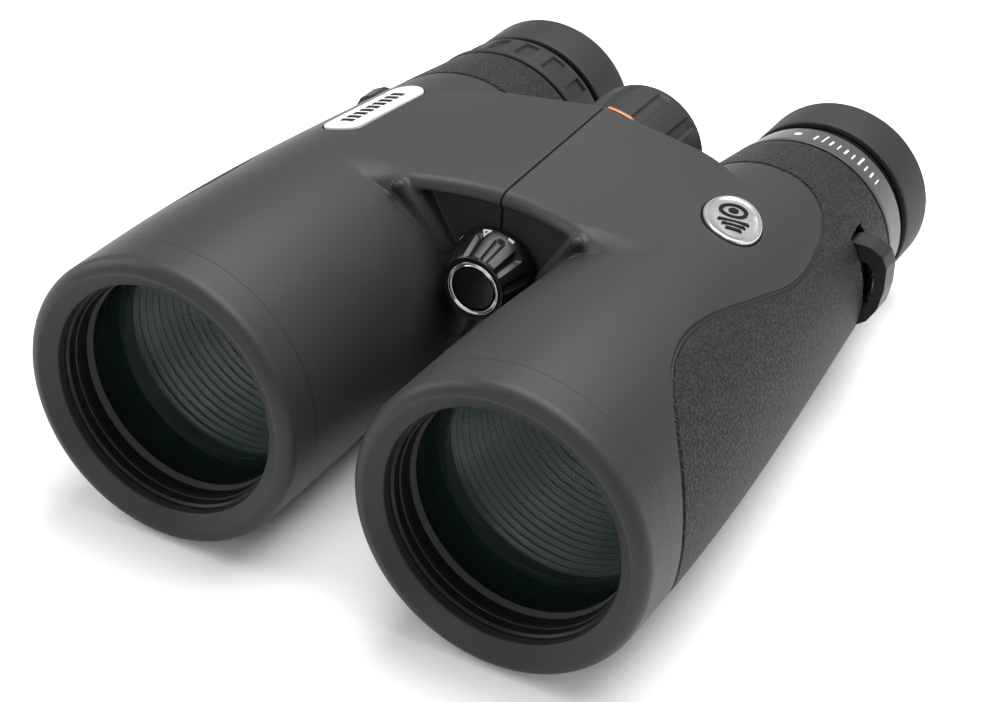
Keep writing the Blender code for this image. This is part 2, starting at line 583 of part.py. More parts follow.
def focus_carrier(left_parent, right_parent):
    """Carrier nut on the screw with the left focusing cell, and the right cell with its fork."""
    axis = (0, HINGE_HEIGHT)
    front, rear = CARRIER_STATIONS
    hub = [(front, CARRIER_RADIUS), (GROOVE_STATIONS[0], CARRIER_RADIUS), (GROOVE_STATIONS[0], GROOVE_RADIUS),
           (GROOVE_STATIONS[1], GROOVE_RADIUS), (GROOVE_STATIONS[1], CARRIER_RADIUS), (rear, CARRIER_RADIUS)]  # fmt: skip
    carrier = turned("focus_carrier", hub, [(front, 2.95), (rear, 2.95)], axis, STEEL, left_parent)
    arm = box("carrier_arm", (5.2, 24.4), (front + 0.2, GROOVE_STATIONS[0] - 0.2), (4.2, 9.2))
    cell_room = FOCUS_CELL_RADIUS + GAP
    cut(arm, turned("carrier_cell_room", [(80, cell_room), (100, cell_room)], None, (BARREL_X, 0)))
    join(carrier, arm)
    for label, side, parent in (("left", 1, left_parent), ("right", -1, right_parent)):
        place = (side * BARREL_X, 0)
        ring = [(front, FOCUS_CELL_RADIUS), (rear, FOCUS_CELL_RADIUS)]
        bore = [(front, FOCUS_LENS_RADIUS + GAP), (rear, FOCUS_LENS_RADIUS + GAP)]
        cell = turned(label + "_focus_cell", ring, bore, place, ALLOY, parent)
        if side < 0:
            fork = box("focus_fork", (-24.4, -1.0), (GROOVE_STATIONS[0] + GAP, GROOVE_STATIONS[1] - GAP), (5.0, 17.0))
            cut(fork, hinge_cylinder("focus_fork_bore", (80, 100), GROOVE_RADIUS + GAP))
            cut(fork, turned("focus_fork_ring_room", [(80, 14.4), (100, 14.4)], None, place))
            join(cell, fork)
        lens(label + "_focus_lens", place, FOCUS_LENS_RADIUS, (88.4, 87.2), (90.4, 91.6), COATED_GLASS, parent)


def build():
    left = pivot("left_half", BARREL_X, 0, 0)
    right = pivot("right_half_on_hinge", 0, 90.0, HINGE_HEIGHT)
    wheel = pivot("wheel_on_hinge_axis", 0, 125.0, HINGE_HEIGHT)
    carrier = pivot("carrier_slide", 0, 90.0, HINGE_HEIGHT)
    right_cell = pivot("right_cell_slide", -BARREL_X, 90.0, 0)
    dioptre = pivot("dioptre_axis", -BARREL_X, 143.0, 0)
    ocular = pivot("right_ocular_slide", -BARREL_X, 146.0, 0)
    cap_washer = pivot("cap_slide", 0, 65.0, HINGE_HEIGHT)
    cap = pivot("cap_axis", 0, 60.0, HINGE_HEIGHT)
    for label, side, parent in (("left", 1, left), ("right", -1, right)):
        guide = pivot(label + "_guide_axis", side * BARREL_X, 150.0, 0)
        cup = pivot(label + "_cup_slide", side * BARREL_X, 160.0, 0)
        barrel_tube(label + "_barrel_tube", side, parent)
        armour(label + "_armour", side, parent)
        objective(label, side, parent)
        prisms(label, side, parent)
        ring_parent, ocular_parent = (parent, parent) if side > 0 else (dioptre, ocular)
        eyepiece(label, side, parent, ring_parent, ocular_parent, guide, cup)
        strap_lug(label + "_strap_lug", side, parent)
    badge_plate("oval_badge", 1, "oval", 0, CHROME, left)
    badge_plate("pill_badge", -1, "pill", 0, CHROME, right)
    hinge_pins(left)
    tripod_cap(cap, cap_washer)
    focus_wheel(wheel)
    focus_carrier(carrier, right_cell)


build()
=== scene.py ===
"""Looks of the roof-prism binoculars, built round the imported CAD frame.

Sizes are in millimetres in the body's own frame: x across from the hinge line with the user's left
barrel at +x, y the station behind the front edge of the objective rims, z above the barrel axes.
"""

import json
import math

import bmesh
import bpy
import numpy as np
from mathutils import Matrix, Vector

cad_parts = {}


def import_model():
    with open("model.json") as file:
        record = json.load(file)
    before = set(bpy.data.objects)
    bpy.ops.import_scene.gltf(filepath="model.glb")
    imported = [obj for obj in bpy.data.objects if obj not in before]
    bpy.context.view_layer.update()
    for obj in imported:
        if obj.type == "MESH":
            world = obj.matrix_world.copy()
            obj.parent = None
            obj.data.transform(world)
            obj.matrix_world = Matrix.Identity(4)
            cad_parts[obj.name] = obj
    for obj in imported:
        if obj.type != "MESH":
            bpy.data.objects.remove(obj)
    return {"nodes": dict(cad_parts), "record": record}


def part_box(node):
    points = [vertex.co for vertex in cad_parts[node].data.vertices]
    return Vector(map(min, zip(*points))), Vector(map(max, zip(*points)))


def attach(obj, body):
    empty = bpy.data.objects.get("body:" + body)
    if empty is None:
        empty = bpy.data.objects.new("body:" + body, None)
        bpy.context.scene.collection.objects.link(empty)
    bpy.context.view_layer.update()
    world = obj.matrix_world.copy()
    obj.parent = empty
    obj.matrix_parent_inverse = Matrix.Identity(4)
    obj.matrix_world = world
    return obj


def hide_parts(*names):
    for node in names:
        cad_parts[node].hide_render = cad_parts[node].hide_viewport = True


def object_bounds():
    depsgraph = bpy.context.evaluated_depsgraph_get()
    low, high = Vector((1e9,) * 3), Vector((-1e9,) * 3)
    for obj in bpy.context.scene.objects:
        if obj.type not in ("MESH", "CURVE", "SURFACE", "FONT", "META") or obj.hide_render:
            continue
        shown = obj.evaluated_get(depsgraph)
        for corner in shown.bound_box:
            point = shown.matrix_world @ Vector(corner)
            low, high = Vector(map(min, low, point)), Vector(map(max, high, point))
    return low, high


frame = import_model()
CAD_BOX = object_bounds()

MM = 0.001
LEFT_LOW, LEFT_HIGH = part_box("left_eyecup")
HINGE_LOW, HINGE_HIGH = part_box("hinge_sleeve")
BARREL_X = (LEFT_LOW.x + LEFT_HIGH.x) / 2 / MM
AXIS_Z = (LEFT_LOW.z + LEFT_HIGH.z) / 2  # world height of the barrel axes
HINGE_Z = (HINGE_LOW.z + HINGE_HIGH.z) / 2 / MM - AXIS_Z / MM
FRONT_Y = CAD_BOX[0][1] + 1.0 * MM  # world place of station 0: the rims' crest is 1 mm before it
LEFT, RIGHT = 1, -1
SIDES = (("left", LEFT), ("right", RIGHT))


def world(points):
    """Points in the body's millimetres, as metres in the world."""
    points = np.asarray(points, float)
    return points * MM + np.array([0.0, FRONT_Y, AXIS_Z])


# ---------------------------------------------------------------- camera, light and floor


def aim(obj, eye, forward, up):
    """Place a camera or lamp at eye, looking along forward."""
    back = -Vector(forward).normalized()
    right = Vector(up).cross(back).normalized()
    rise = back.cross(right)
    turn = Matrix((right, rise, back)).transposed().to_4x4()
    obj.matrix_world = Matrix.Translation(Vector(eye)) @ turn


def make_camera():
    data = bpy.data.cameras.new("camera")
    data.sensor_fit = "HORIZONTAL"
    data.sensor_width = 36.0
    data.lens = 92.99
    data.clip_start = 0.01
    camera = bpy.data.objects.new("camera", data)
    bpy.context.scene.collection.objects.link(camera)
    aim(camera, (0.2132, -0.4274, 0.3094), (-0.38834, 0.75690, -0.52563), (-0.29995, 0.43551, 0.84874))
    bpy.context.scene.camera = camera


def lamp(name, eye, target, size, power, colour=(1, 1, 1)):
    """A rectangular soft box that faces its target."""
    data = bpy.data.lights.new(name, "AREA")
    data.shape = "RECTANGLE"
    data.size, data.size_y = size
    data.energy = power
    data.color = colour
    obj = bpy.data.objects.new(name, data)
    bpy.context.scene.collection.objects.link(obj)
    aim(obj, eye, Vector(target) - Vector(eye), (0, 0, 1))


FLOOR_TILT = math.atan2(LEFT_LOW.z - CAD_BOX[0][2], 0.162)


def make_stage():
    scene = bpy.context.scene
    scene.view_settings.view_transform = "Standard"
    scene.world = bpy.data.worlds.new("studio")
    scene.world.use_nodes = True
    back = scene.world.node_tree.nodes["Background"]
    back.inputs["Color"].default_value = (1.0, 1.0, 1.0, 1)
    back.inputs["Strength"].default_value = 0.52
    lamp("top_box", (0.05, 0.16, 0.62), (0, 0, 0.03), (0.7, 0.5), 7.8)
    lamp("left_box", (-0.6, -0.2, 0.36), (0, 0, 0.03), (0.4, 0.5), 2.4)
    lamp("right_box", (0.62, 0.1, 0.28), (0, 0, 0.03), (0.3, 0.5), 0.6)
    lamp("front_box", (0.0, -0.7, 0.25), (0, 0, 0.03), (0.5, 0.3), 1.0)
    mesh = bpy.data.meshes.new("floor")
    reach = 2.5
    y0 = FRONT_Y + 2 * MM
    slope = math.tan(FLOOR_TILT)
    z0 = CAD_BOX[0][2] - 0.0002
    corners = [(-reach, -reach), (reach, -reach), (reach, reach), (-reach, reach)]
    mesh.from_pydata([(x, y, z0 + (y - y0) * slope) for x, y in corners], [], [(0, 1, 2, 3)])
    floor = bpy.data.objects.new("floor", mesh)
    scene.collection.objects.link(floor)
    material = bpy.data.materials.new("floor")
    material.use_nodes = True
    shader = material.node_tree.nodes["Principled BSDF"]
    shader.inputs["Base Color"].default_value = (0.93, 0.93, 0.93, 1)
    shader.inputs["Roughness"].default_value = 0.9
    shader.inputs["Specular IOR Level"].default_value = 0.1
    mesh.materials.append(material)


# ---------------------------------------------------------------- materials


class Nodes:
    """A material with a Principled shader, and short calls that add procedural nodes to it."""

    def __init__(self, name, colour, roughness, metallic=0.0, **sockets):
        self.material = bpy.data.materials.new(name)
        self.material.use_nodes = True
        self.tree = self.material.node_tree
        self.shader = self.tree.nodes["Principled BSDF"]
        self.colour = colour
        self.roughness = roughness
        self.shader.inputs["Base Color"].default_value = (*colour, 1)
        self.shader.inputs["Roughness"].default_value = roughness
        self.shader.inputs["Metallic"].default_value = metallic
        for label, value in sockets.items():
            self.shader.inputs[label.replace("_", " ")].default_value = value
        self.place = self.add("ShaderNodeTexCoord").outputs["Object"]

    def add(self, kind, **settings):
        node = self.tree.nodes.new(kind)
        for key, value in settings.items():
            setattr(node, key, value)
        return node

    def put(self, socket, value):
        if isinstance(value, bpy.types.NodeSocket):
            self.tree.links.new(value, socket)
        else:
            socket.default_value = value

    def noise(self, size, detail=3.0, rough=0.55, stretch=None):
        """Noise from 0 to 1 whose blobs are about size millimetres across."""
        node = self.add("ShaderNodeTexNoise")
        place = self.place
        if stretch is not None:
            mapping = self.add("ShaderNodeMapping")
            self.put(mapping.inputs["Vector"], place)
            mapping.inputs["Scale"].default_value = stretch
            place = mapping.outputs["Vector"]
        self.put(node.inputs["Vector"], place)
        node.inputs["Scale"].default_value = 1000.0 / size
        node.inputs["Detail"].default_value = detail
        node.inputs["Roughness"].default_value = rough
        return node.outputs["Fac"]

    def cells(self, size, feature="F1", randomness=1.0, warp=None):
        node = self.add("ShaderNodeTexVoronoi", feature=feature)
        self.put(node.inputs["Vector"], self.place if warp is None else warp)
        node.inputs["Scale"].default_value = 1000.0 / size
        node.inputs["Randomness"].default_value = randomness
        if feature == "SMOOTH_F1":
            node.inputs["Smoothness"].default_value = 0.35
        return node.outputs["Distance"]

    def math(self, operation, a, b=0.0, clamp=False):
        node = self.add("ShaderNodeMath", operation=operation, use_clamp=clamp)
        self.put(node.inputs[0], a)
        self.put(node.inputs[1], b)
        return node.outputs[0]

    def spread(self, value, low, high, to_low=0.0, to_high=1.0):
        node = self.add("ShaderNodeMapRange")
        node.clamp = True
        for key, number in (("From Min", low), ("From Max", high), ("To Min", to_low), ("To Max", to_high)):
            node.inputs[key].default_value = number
        self.put(node.inputs["Value"], value)
        return node.outputs["Result"]

    def mix(self, share, a, b):
        node = self.add("ShaderNodeMix", data_type="RGBA")
        self.put(node.inputs["Factor"], share)
        for socket, value in ((node.inputs[6], a), (node.inputs[7], b)):
            self.put(socket, value if isinstance(value, bpy.types.NodeSocket) else (*value, 1))
        return node.outputs[2]

    def blend(self, share, a, b):
        node = self.add("ShaderNodeMix", data_type="FLOAT")
        self.put(node.inputs["Factor"], share)
        self.put(node.inputs[2], a)
        self.put(node.inputs[3], b)
        return node.outputs[0]

    def attribute(self, name):
        return self.add("ShaderNodeAttribute", attribute_name=name).outputs["Fac"]

    def paint(self, value):
        self.put(self.shader.inputs["Base Color"], value)

    def rough(self, value):
        self.put(self.shader.inputs["Roughness"], value)

    def bump(self, height, depth, strength=1.0):
        """Relief: height from 0 to 1 stands for depth millimetres."""
        node = self.add("ShaderNodeBump")
        node.inputs["Distance"].default_value = depth * MM
        node.inputs["Strength"].default_value = strength
        self.put(node.inputs["Height"], height)
        last = self.shader.inputs["Normal"]
        if last.is_linked:
            self.put(node.inputs["Normal"], last.links[0].from_socket)
        self.put(last, node.outputs["Normal"])


def scaled(colour, by):
    return tuple(channel * by for channel in colour)


def mottled(name, colour, roughness, metallic=0.0, size=0.5, vary=0.12, depth=0.01, wear=0.05, **sockets):
    """A fine-grained moulded or coated surface with slight colour and gloss variation."""
    m = Nodes(name, colour, roughness, metallic, **sockets)
    fine, broad = m.noise(size, 4), m.noise(18.0, 3)
    m.paint(m.mix(m.blend(0.5, fine, broad), scaled(colour, 1 - vary), scaled(colour, 1 + vary)))
    m.rough(m.spread(broad, 0.3, 0.7, roughness - wear, roughness + wear))
    m.bump(fine, depth)
    return m


WITNESS_LINE = 8.6  # station of the fine moulding line behind the objective rims


def armour_rubber():
    """Charcoal rubber: smooth and finely mottled, pebbled like leather where the attribute grip is 1, with painted
    shade between the pebbles and painted highlight on their tops.
    """
    base, dark = (0.023, 0.0233, 0.0247), (0.012, 0.0122, 0.013)
    m = Nodes("armour_rubber", base, 0.46, Specular_IOR_Level=0.24)
    grip = m.attribute("grip")
    fine, broad = m.noise(0.35, 5, 0.6), m.noise(22.0, 3)
    warp = m.add("ShaderNodeVectorMath", operation="ADD")
    wobble = m.add("ShaderNodeTexNoise")
    m.put(wobble.inputs["Vector"], m.place)
    wobble.inputs["Scale"].default_value = 1400.0
    shift = m.add("ShaderNodeVectorMath", operation="SCALE")
    m.put(shift.inputs[0], wobble.outputs["Color"])
    shift.inputs["Scale"].default_value = 0.0005
    m.put(warp.inputs[0], m.place)
    m.put(warp.inputs[1], shift.outputs[0])
    pebble = m.cells(0.62, "SMOOTH_F1", 1.0, warp.outputs[0])
    dome = m.spread(pebble, 0.12, 0.62, 1.0, 0.0)
    smooth_paint = m.mix(m.blend(0.6, fine, broad), scaled(base, 0.9), scaled(base, 1.1))
    # painted shade and highlight on the pebbled rubber: colour runs from dark in the gaps between pebbles to lighter
    # on each pebble's top
    pebble_painted_shade_and_highlight = m.mix(dome, scaled(dark, 0.45), scaled(dark, 1.5))
    split = m.add("ShaderNodeSeparateXYZ")
    m.put(split.inputs[0], m.place)
    gap = m.math("ABSOLUTE", m.math("SUBTRACT", split.outputs[1], FRONT_Y + WITNESS_LINE * MM))
    witness = m.spread(gap, 0.05 * MM, 0.22 * MM, 0.0, 1.0)
    m.paint(m.mix(witness, scaled(base, 0.5), m.mix(grip, smooth_paint, pebble_painted_shade_and_highlight)))
    m.bump(witness, 0.05)
    smooth_rough = m.spread(broad, 0.3, 0.7, 0.43, 0.49)
    grip_rough = m.spread(dome, 0.0, 1.0, 0.62, 0.5)
    m.rough(m.blend(grip, smooth_rough, grip_rough))
    m.bump(m.math("MULTIPLY", dome, grip), 0.17)
    m.bump(fine, 0.006)
    return m.material


def glass(name, tint, alpha, **sockets):
    """Multi-coated glass: nearly clear, so that the lamps reach the ridges behind it."""
    m = Nodes(name, tint, 0.03, Alpha=alpha, **sockets)
    haze = m.noise(9.0, 2)
    m.paint(m.mix(haze, scaled(tint, 0.92), scaled(tint, 1.08)))
    return m.material


def turned_metal(name, colour, roughness, metallic=1.0, **sockets):
    """Lathe-turned metal: fine rings along the barrel's direction."""
    m = Nodes(name, colour, roughness, metallic, **sockets)
    rings = m.noise(0.6, 3, 0.6, (0.02, 1.0, 0.02))
    broad = m.noise(8.0, 3)
    m.paint(m.mix(broad, scaled(colour, 0.94), scaled(colour, 1.04)))
    m.rough(m.spread(m.blend(0.5, rings, broad), 0.3, 0.7, roughness - 0.05, roughness + 0.08))
    m.bump(rings, 0.006)
    return m.material


def marked(name, colour, roughness, ink, **sockets):
    """A satin black ring whose mesh attribute ink is 1 where a pale mark is printed."""
    m = mottled(name, colour, roughness, size=0.3, depth=0.004, **sockets)
    old = m.shader.inputs["Base Color"].links[0].from_socket
    m.paint(m.mix(m.attribute("ink"), old, ink))
    return m.material


def make_materials():
    made = {
        "rubber_armour": armour_rubber(),
        "chassis": mottled("chassis_polycarbonate", (0.012, 0.012, 0.013), 0.42, size=0.4, Specular_IOR_Level=0.28).material,
        "black_alloy": mottled("black_anodised_alloy", (0.018, 0.018, 0.019), 0.34, 0.4, size=0.2, depth=0.004).material,
        "index_ring_metal": marked("index_ring_alloy", (0.045, 0.045, 0.047), 0.4, (0.75, 0.75, 0.75), Specular_IOR_Level=0.4),
        "black_plastic": mottled("matt_black_plastic", (0.008, 0.008, 0.0085), 0.42, size=0.35, Specular_IOR_Level=0.22).material,
        "gloss_plastic": marked("gloss_black_plastic", (0.005, 0.005, 0.0055), 0.3, (0.5, 0.5, 0.5), Specular_IOR_Level=0.3),
        "coated_glass": glass("coated_glass", (0.006, 0.03, 0.021), 0.08),
        "prism_glass": glass("prism_glass", (0.02, 0.03, 0.028), 0.3),
        "soft_rubber": mottled("soft_matte_rubber", (0.018, 0.018, 0.0192), 0.56, size=0.3, depth=0.012, Specular_IOR_Level=0.24).material,
        "steel": turned_metal("turned_steel", (0.55, 0.55, 0.57), 0.28),
        "chrome": turned_metal("polished_chrome", (0.82, 0.82, 0.84), 0.1),
        "badge_silver": turned_metal("badge_silver", (0.62, 0.63, 0.62), 0.3),
        "copper_accent": turned_metal("copper_orange_anodised", (0.6, 0.23, 0.09), 0.36, 0.6),
    }
    made["lens_edge"] = mottled("ground_lens_edge", (0.06, 0.058, 0.062), 0.4, size=0.25, depth=0.004).material
    made["baffle"] = mottled("baffle_black", (0.03, 0.06, 0.052), 0.24, size=0.8, vary=0.05, depth=0.0005, wear=0.02).material
    made["badge_white"] = mottled("badge_white_enamel", (0.6, 0.6, 0.59), 0.3, size=0.6, depth=0.003).material
    made["badge_ink"] = mottled("badge_black_ink", (0.004, 0.004, 0.004), 0.6, size=0.3, depth=0.003, Specular_IOR_Level=0.1).material
    return made


MATERIALS = make_materials()


# ---------------------------------------------------------------- adding pieces


def add_piece(name, vertices, faces, body, slot, nodes=(), material=None, sharp=32.0, attributes=()):
    """Add a mesh given in the body's millimetres, riding a CAD body and standing for CAD nodes."""
    mesh = bpy.data.meshes.new(name)
    mesh.from_pydata(world(vertices).tolist(), [], faces)
    mesh.validate()
    for label, values in attributes:
        mesh.attributes.new(label, "FLOAT", "POINT").data.foreach_set("value", np.asarray(values, np.float32))
    work = bmesh.new()
    work.from_mesh(mesh)
    bmesh.ops.recalc_face_normals(work, faces=work.faces)
    work.to_mesh(mesh)
    work.free()
    mesh.shade_smooth()
    if sharp is not None:
        mesh.set_sharp_from_angle(angle=math.radians(sharp))
    mesh.materials.append(MATERIALS[material or slot])
    obj = bpy.data.objects.new(name, mesh)
    bpy.context.scene.collection.objects.link(obj)
    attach(obj, body)
    if nodes:
        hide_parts(*nodes)
    return obj


def eased(loop, radius, steps=5):
    """A closed profile with its corners rounded to at most this radius; a point may carry its own."""
    points = [np.array(p[:2], float) for p in loop]
    radii = [p[2] if len(p) > 2 else radius for p in loop]
    made = []
    for i, corner in enumerate(points):
        before, after = points[i - 1] - corner, points[(i + 1) % len(points)] - corner
        a, b = np.linalg.norm(before), np.linalg.norm(after)
        before, after = before / a, after / b
        half = math.acos(np.clip(before @ after, -1, 1)) / 2
        if radii[i] <= 0 or half > 1.5 or corner[1] <= 1e-9:
            made.append(corner)
            continue
        back = min(radii[i] / math.tan(half), 0.45 * a, 0.45 * b)
        start, end = corner + before * back, corner + after * back
        for k in range(steps + 1):
            t = k / steps
            made.append((1 - t) ** 2 * start + 2 * t * (1 - t) * corner + t**2 * end)
    return made


def turned(name, loop, axis, body, slot, nodes=(), ease=0.15, segments=160, shape=None, open_axis=False,
           extra=(), sharp=32.0, material=None, ink=None):  # fmt: skip
    """A piece turned about the line x, z = axis. loop is a closed profile of (station, radius) points.

    Where the profile starts and ends on the axis, open_axis leaves that edge out. shape changes
    (stations, radii, angles) to a radius; ink gives a mark's strength there.
    """
    profile = np.array(eased(loop, ease)) if ease else np.array([p[:2] for p in loop], float)
    if len(extra):
        profile = densify(profile, extra)
    count = len(profile)
    angles = np.arange(segments) * math.tau / segments
    stations = np.repeat(profile[:, 0], segments)
    radii = np.repeat(profile[:, 1], segments)
    turns = np.tile(angles, count)
    if shape is not None:
        radii = shape(stations, radii, turns)
    vertices = np.stack([axis[0] + radii * np.cos(turns), stations, axis[1] + radii * np.sin(turns)], 1)
    rows = count - 1 if open_axis else count
    i = np.repeat(np.arange(rows), segments)
    j = np.tile(np.arange(segments), rows)
    following, beside = (i + 1) % count, (j + 1) % segments
    faces = np.stack([i * segments + j, i * segments + beside, following * segments + beside,
                      following * segments + j], 1)  # fmt: skip
    marks = [("ink", ink(stations, radii, turns))] if ink is not None else []
    obj = add_piece(name, vertices, faces.tolist(), body, slot, nodes, material, sharp, marks)
    work = bmesh.new()
    work.from_mesh(obj.data)
    bmesh.ops.remove_doubles(work, verts=work.verts, dist=0.0005 * MM)
    bmesh.ops.recalc_face_normals(work, faces=work.faces)
    work.to_mesh(obj.data)
    work.free()
    return obj


def densify(profile, spans):
    """Profile points no further apart than step between two stations, for each (start, end, step)."""
    made = []
    for a, b in zip(profile, np.roll(profile, -1, axis=0)):
        made.append(a)
        middle = (a[0] + b[0]) / 2
        for start, end, step in spans:
            if start <= middle <= end:
                parts = int(np.linalg.norm(b - a) / step)
                made += [a + (b - a) * k / parts for k in range(1, parts)]
                break
    return np.array(made)


# ---------------------------------------------------------------- rubber armour

RADIUS_STATIONS = np.array([-5.0, 3.0, 25.0, 45.0, 65.0, 85.0, 105.0, 120.0, 137.6, 145.0])
RADII = np.array([31.3, 31.3, 31.2, 30.5, 29.2, 27.5, 25.6, 24.2, 22.35, 21.6])
ARMOUR_REAR = 137.6
ARMOUR_WALL = 1.8
HOOD_RADIUS = 25.05


def barrel_radius(y):
    """Smooth armour radius: a Hermite curve through the outline's points."""
    slopes = np.gradient(RADII, RADIUS_STATIONS)
    slopes[:2] = 0.0
    i = np.clip(np.searchsorted(RADIUS_STATIONS, y) - 1, 0, len(RADII) - 2)
    span = RADIUS_STATIONS[i + 1] - RADIUS_STATIONS[i]
    t = np.clip((y - RADIUS_STATIONS[i]) / span, 0, 1)
    h = (2 * t**3 - 3 * t**2 + 1, t**3 - 2 * t**2 + t, -2 * t**3 + 3 * t**2, t**3 - t**2)
    return h[0] * RADII[i] + h[1] * span * slopes[i] + h[2] * RADII[i + 1] + h[3] * span * slopes[i + 1]


def smooth(edge0, edge1, x):
    t = np.clip((x - edge0) / (edge1 - edge0), 0, 1)
    return t * t * (3 - 2 * t)


def both(a, b, k=0.0):
    """Intersection of two distance fields, with a convex edge of radius k."""
    if np.isscalar(k) and k == 0.0:
        return np.maximum(a, b)
    return np.minimum(-k, np.maximum(a, b)) + np.hypot(np.maximum(a + k, 0), np.maximum(b + k, 0))


def either(a, b, k=0.0):
    """Union of two distance fields, with a concave fillet of radius k."""
    return -both(-a, -b, k)


def lip_line(u):
    """Station of the bridge's front face."""
    return 66.3 - 0.0121 * u**2


def bridge_top(u, y):
    crown = 29.2 + (y - 69.0) * 0.033
    share = np.clip(u / BARREL_X, 0, 1)
    top = crown + (barrel_radius(y) - crown) * share
    barrel = np.sqrt(np.maximum(barrel_radius(y) ** 2 - np.minimum(u - BARREL_X, 0) ** 2, 0))
    joined = smooth(55.0, 66.0, y)
    return np.where(u > 17, barrel - 0.6 + (top - barrel + 0.6) * (1 - (1 - joined) * smooth(17, 26, u)), top)


def pocket(u, y, z):
    """The recessed wall behind the lip, round the tripod cap."""
    top = (z - (26.3 + 0.03 * np.maximum(u - 12, 0))) * 0.999
    side = ((u - 9.0) * 0.86 - (z - 12.4) * 0.51)
    side = both(side, u - 17.6, 1.0)
    low = both(side, u - 9.0, 0.0)
    outline = both(top, np.where(z < 12.4, low, side), 1.2)
    return both(outline, y - (67.3 - 0.002 * u**2), 0.5)


def bridge(u, y, z):
    top = z - bridge_top(u, y)
    front = (lip_line(u) - y) / np.sqrt(1 + (0.0242 * u) ** 2)
    block = both(top, front, 2.7)
    rear = y - (112.2 - 0.03 * np.maximum(0.0, u - 22) ** 2)
    block = both(block, rear, 0.45)
    block = both(both(block, u - BARREL_X), -7.5 - z, 1.0)
    return both(block, -pocket(u, y, z), 0.55)


def rib(u, y, z):
    """Soft lip down each side of the pocket, from its tip to the cap."""
    start, end = np.array([20.6, 60.9, 27.2]), np.array([11.8, 64.6, 14.2])
    along = end - start
    p = np.stack([u - start[0], y - start[1], z - start[2]])
    t = np.clip(np.tensordot(along, p, axes=(0, 0)) / (along @ along), 0, 1)
    gap = p - along.reshape(3, *[1] * np.ndim(u)) * t
    return np.sqrt((gap**2).sum(axis=0)) - 1.25


def hollow(u, y, z):
    """Everything cut from the inside of the armour: negative in the room."""
    r = np.hypot(u - BARREL_X, z)
    cone = ((r - HOOD_RADIUS) - (1.3 - y) * 1.413) * 0.578
    bore = both(r - HOOD_RADIUS, y - 3.3)
    bore = either(bore, both(r - (barrel_radius(y) - ARMOUR_WALL), 3.3 - y, 0.2))
    bore = either(bore, cone, 0.25)
    hinge = np.hypot(u, z - HINGE_Z)
    knuckles = both(hinge - 10.2, 69.2 - y)
    stud = hinge - 5.3
    arm = both(both(5.7 - u, u - BARREL_X + 4), both(both(69.2 - y, y - 100.3), both(2.3 - z, z - 21.1)))
    rear_arm = both(both(6.7 - u, u - 13.3), both(both(98.1 - y, y - 109.0), both(3.3 - z, z - 20.1)))
    room = either(either(bore, knuckles), either(either(stud, arm), rear_arm))
    lug = both(both(117.3 - y, y - 124.7), both(both(z - 14.1, -8.5 - z), 55.0 - u))
    return either(room, both(lug, 50.0 - u))


def cleft(u, z):
    """Distance into the seam and the room for folding below the hinge."""
    below = ((HINGE_Z - z) * 0.376 + 0.16 - u) * 0.936
    return np.maximum(0.16 - u, np.where(z < HINGE_Z, below, 0.16 - u))


# The line between the smooth and the pebbled rubber: angle round the barrel against station
GRIP_LINE = (
    (106, 120.3), (98, 120.1), (90, 119.7), (80, 119.2), (72, 118.4), (66, 117.2), (58, 114.2), (51, 110), (46, 104),
    (43, 97), (42, 90), (43.5, 82), (47.5, 74), (51.5, 66), (55.3, 59), (58, 52.8), (59.3, 46.5), (59, 41), (56.5, 35),
    (52, 29.9), (46, 25.8), (38, 21.8), (29, 18.6), (19, 16.1), (9, 14.6), (-2, 14.1), (-13, 14.9), (-23, 17),
    (-33, 20), (-41, 23.6), (-48, 27.8), (-54, 33), (-57, 39), (-57.5, 46), (-56, 53), (-53, 60), (-49.5, 67),
    (-46, 75), (-43, 83), (-41.5, 91), (-42.5, 98), (-46, 105), (-51, 110.5), (-58, 114.5), (-67, 117.4), (-78, 119),
    (-90, 120), (-106, 120.3),
)  # fmt: skip
COLLAR = 120.3


def grip_outline():
    """The grip line as (arc, station) points about 0.6 mm apart."""
    angle, station = np.array(GRIP_LINE, float).T
    points = np.stack([np.radians(angle) * barrel_radius(station), station], 1)
    ends = np.vstack([2 * points[0] - points[1], points, 2 * points[-1] - points[-2]])
    made = []
    for a, b, c, d in zip(ends, ends[1:], ends[2:], ends[3:]):
        for t in np.linspace(0, 1, 9)[:-1]:
            made.append(0.5 * (2 * b + (c - a) * t + (2 * a - 5 * b + 4 * c - d) * t**2 + (3 * b - a - 3 * c + d) * t**3))
    return np.array(made + [points[-1]])


GRIP_POINTS = grip_outline()


GRIP_STEP = 0.15
GRIP_LOW = (-100.0, -2.0)
GRIP_COUNT = (1335, 960)
FAR = 2.6


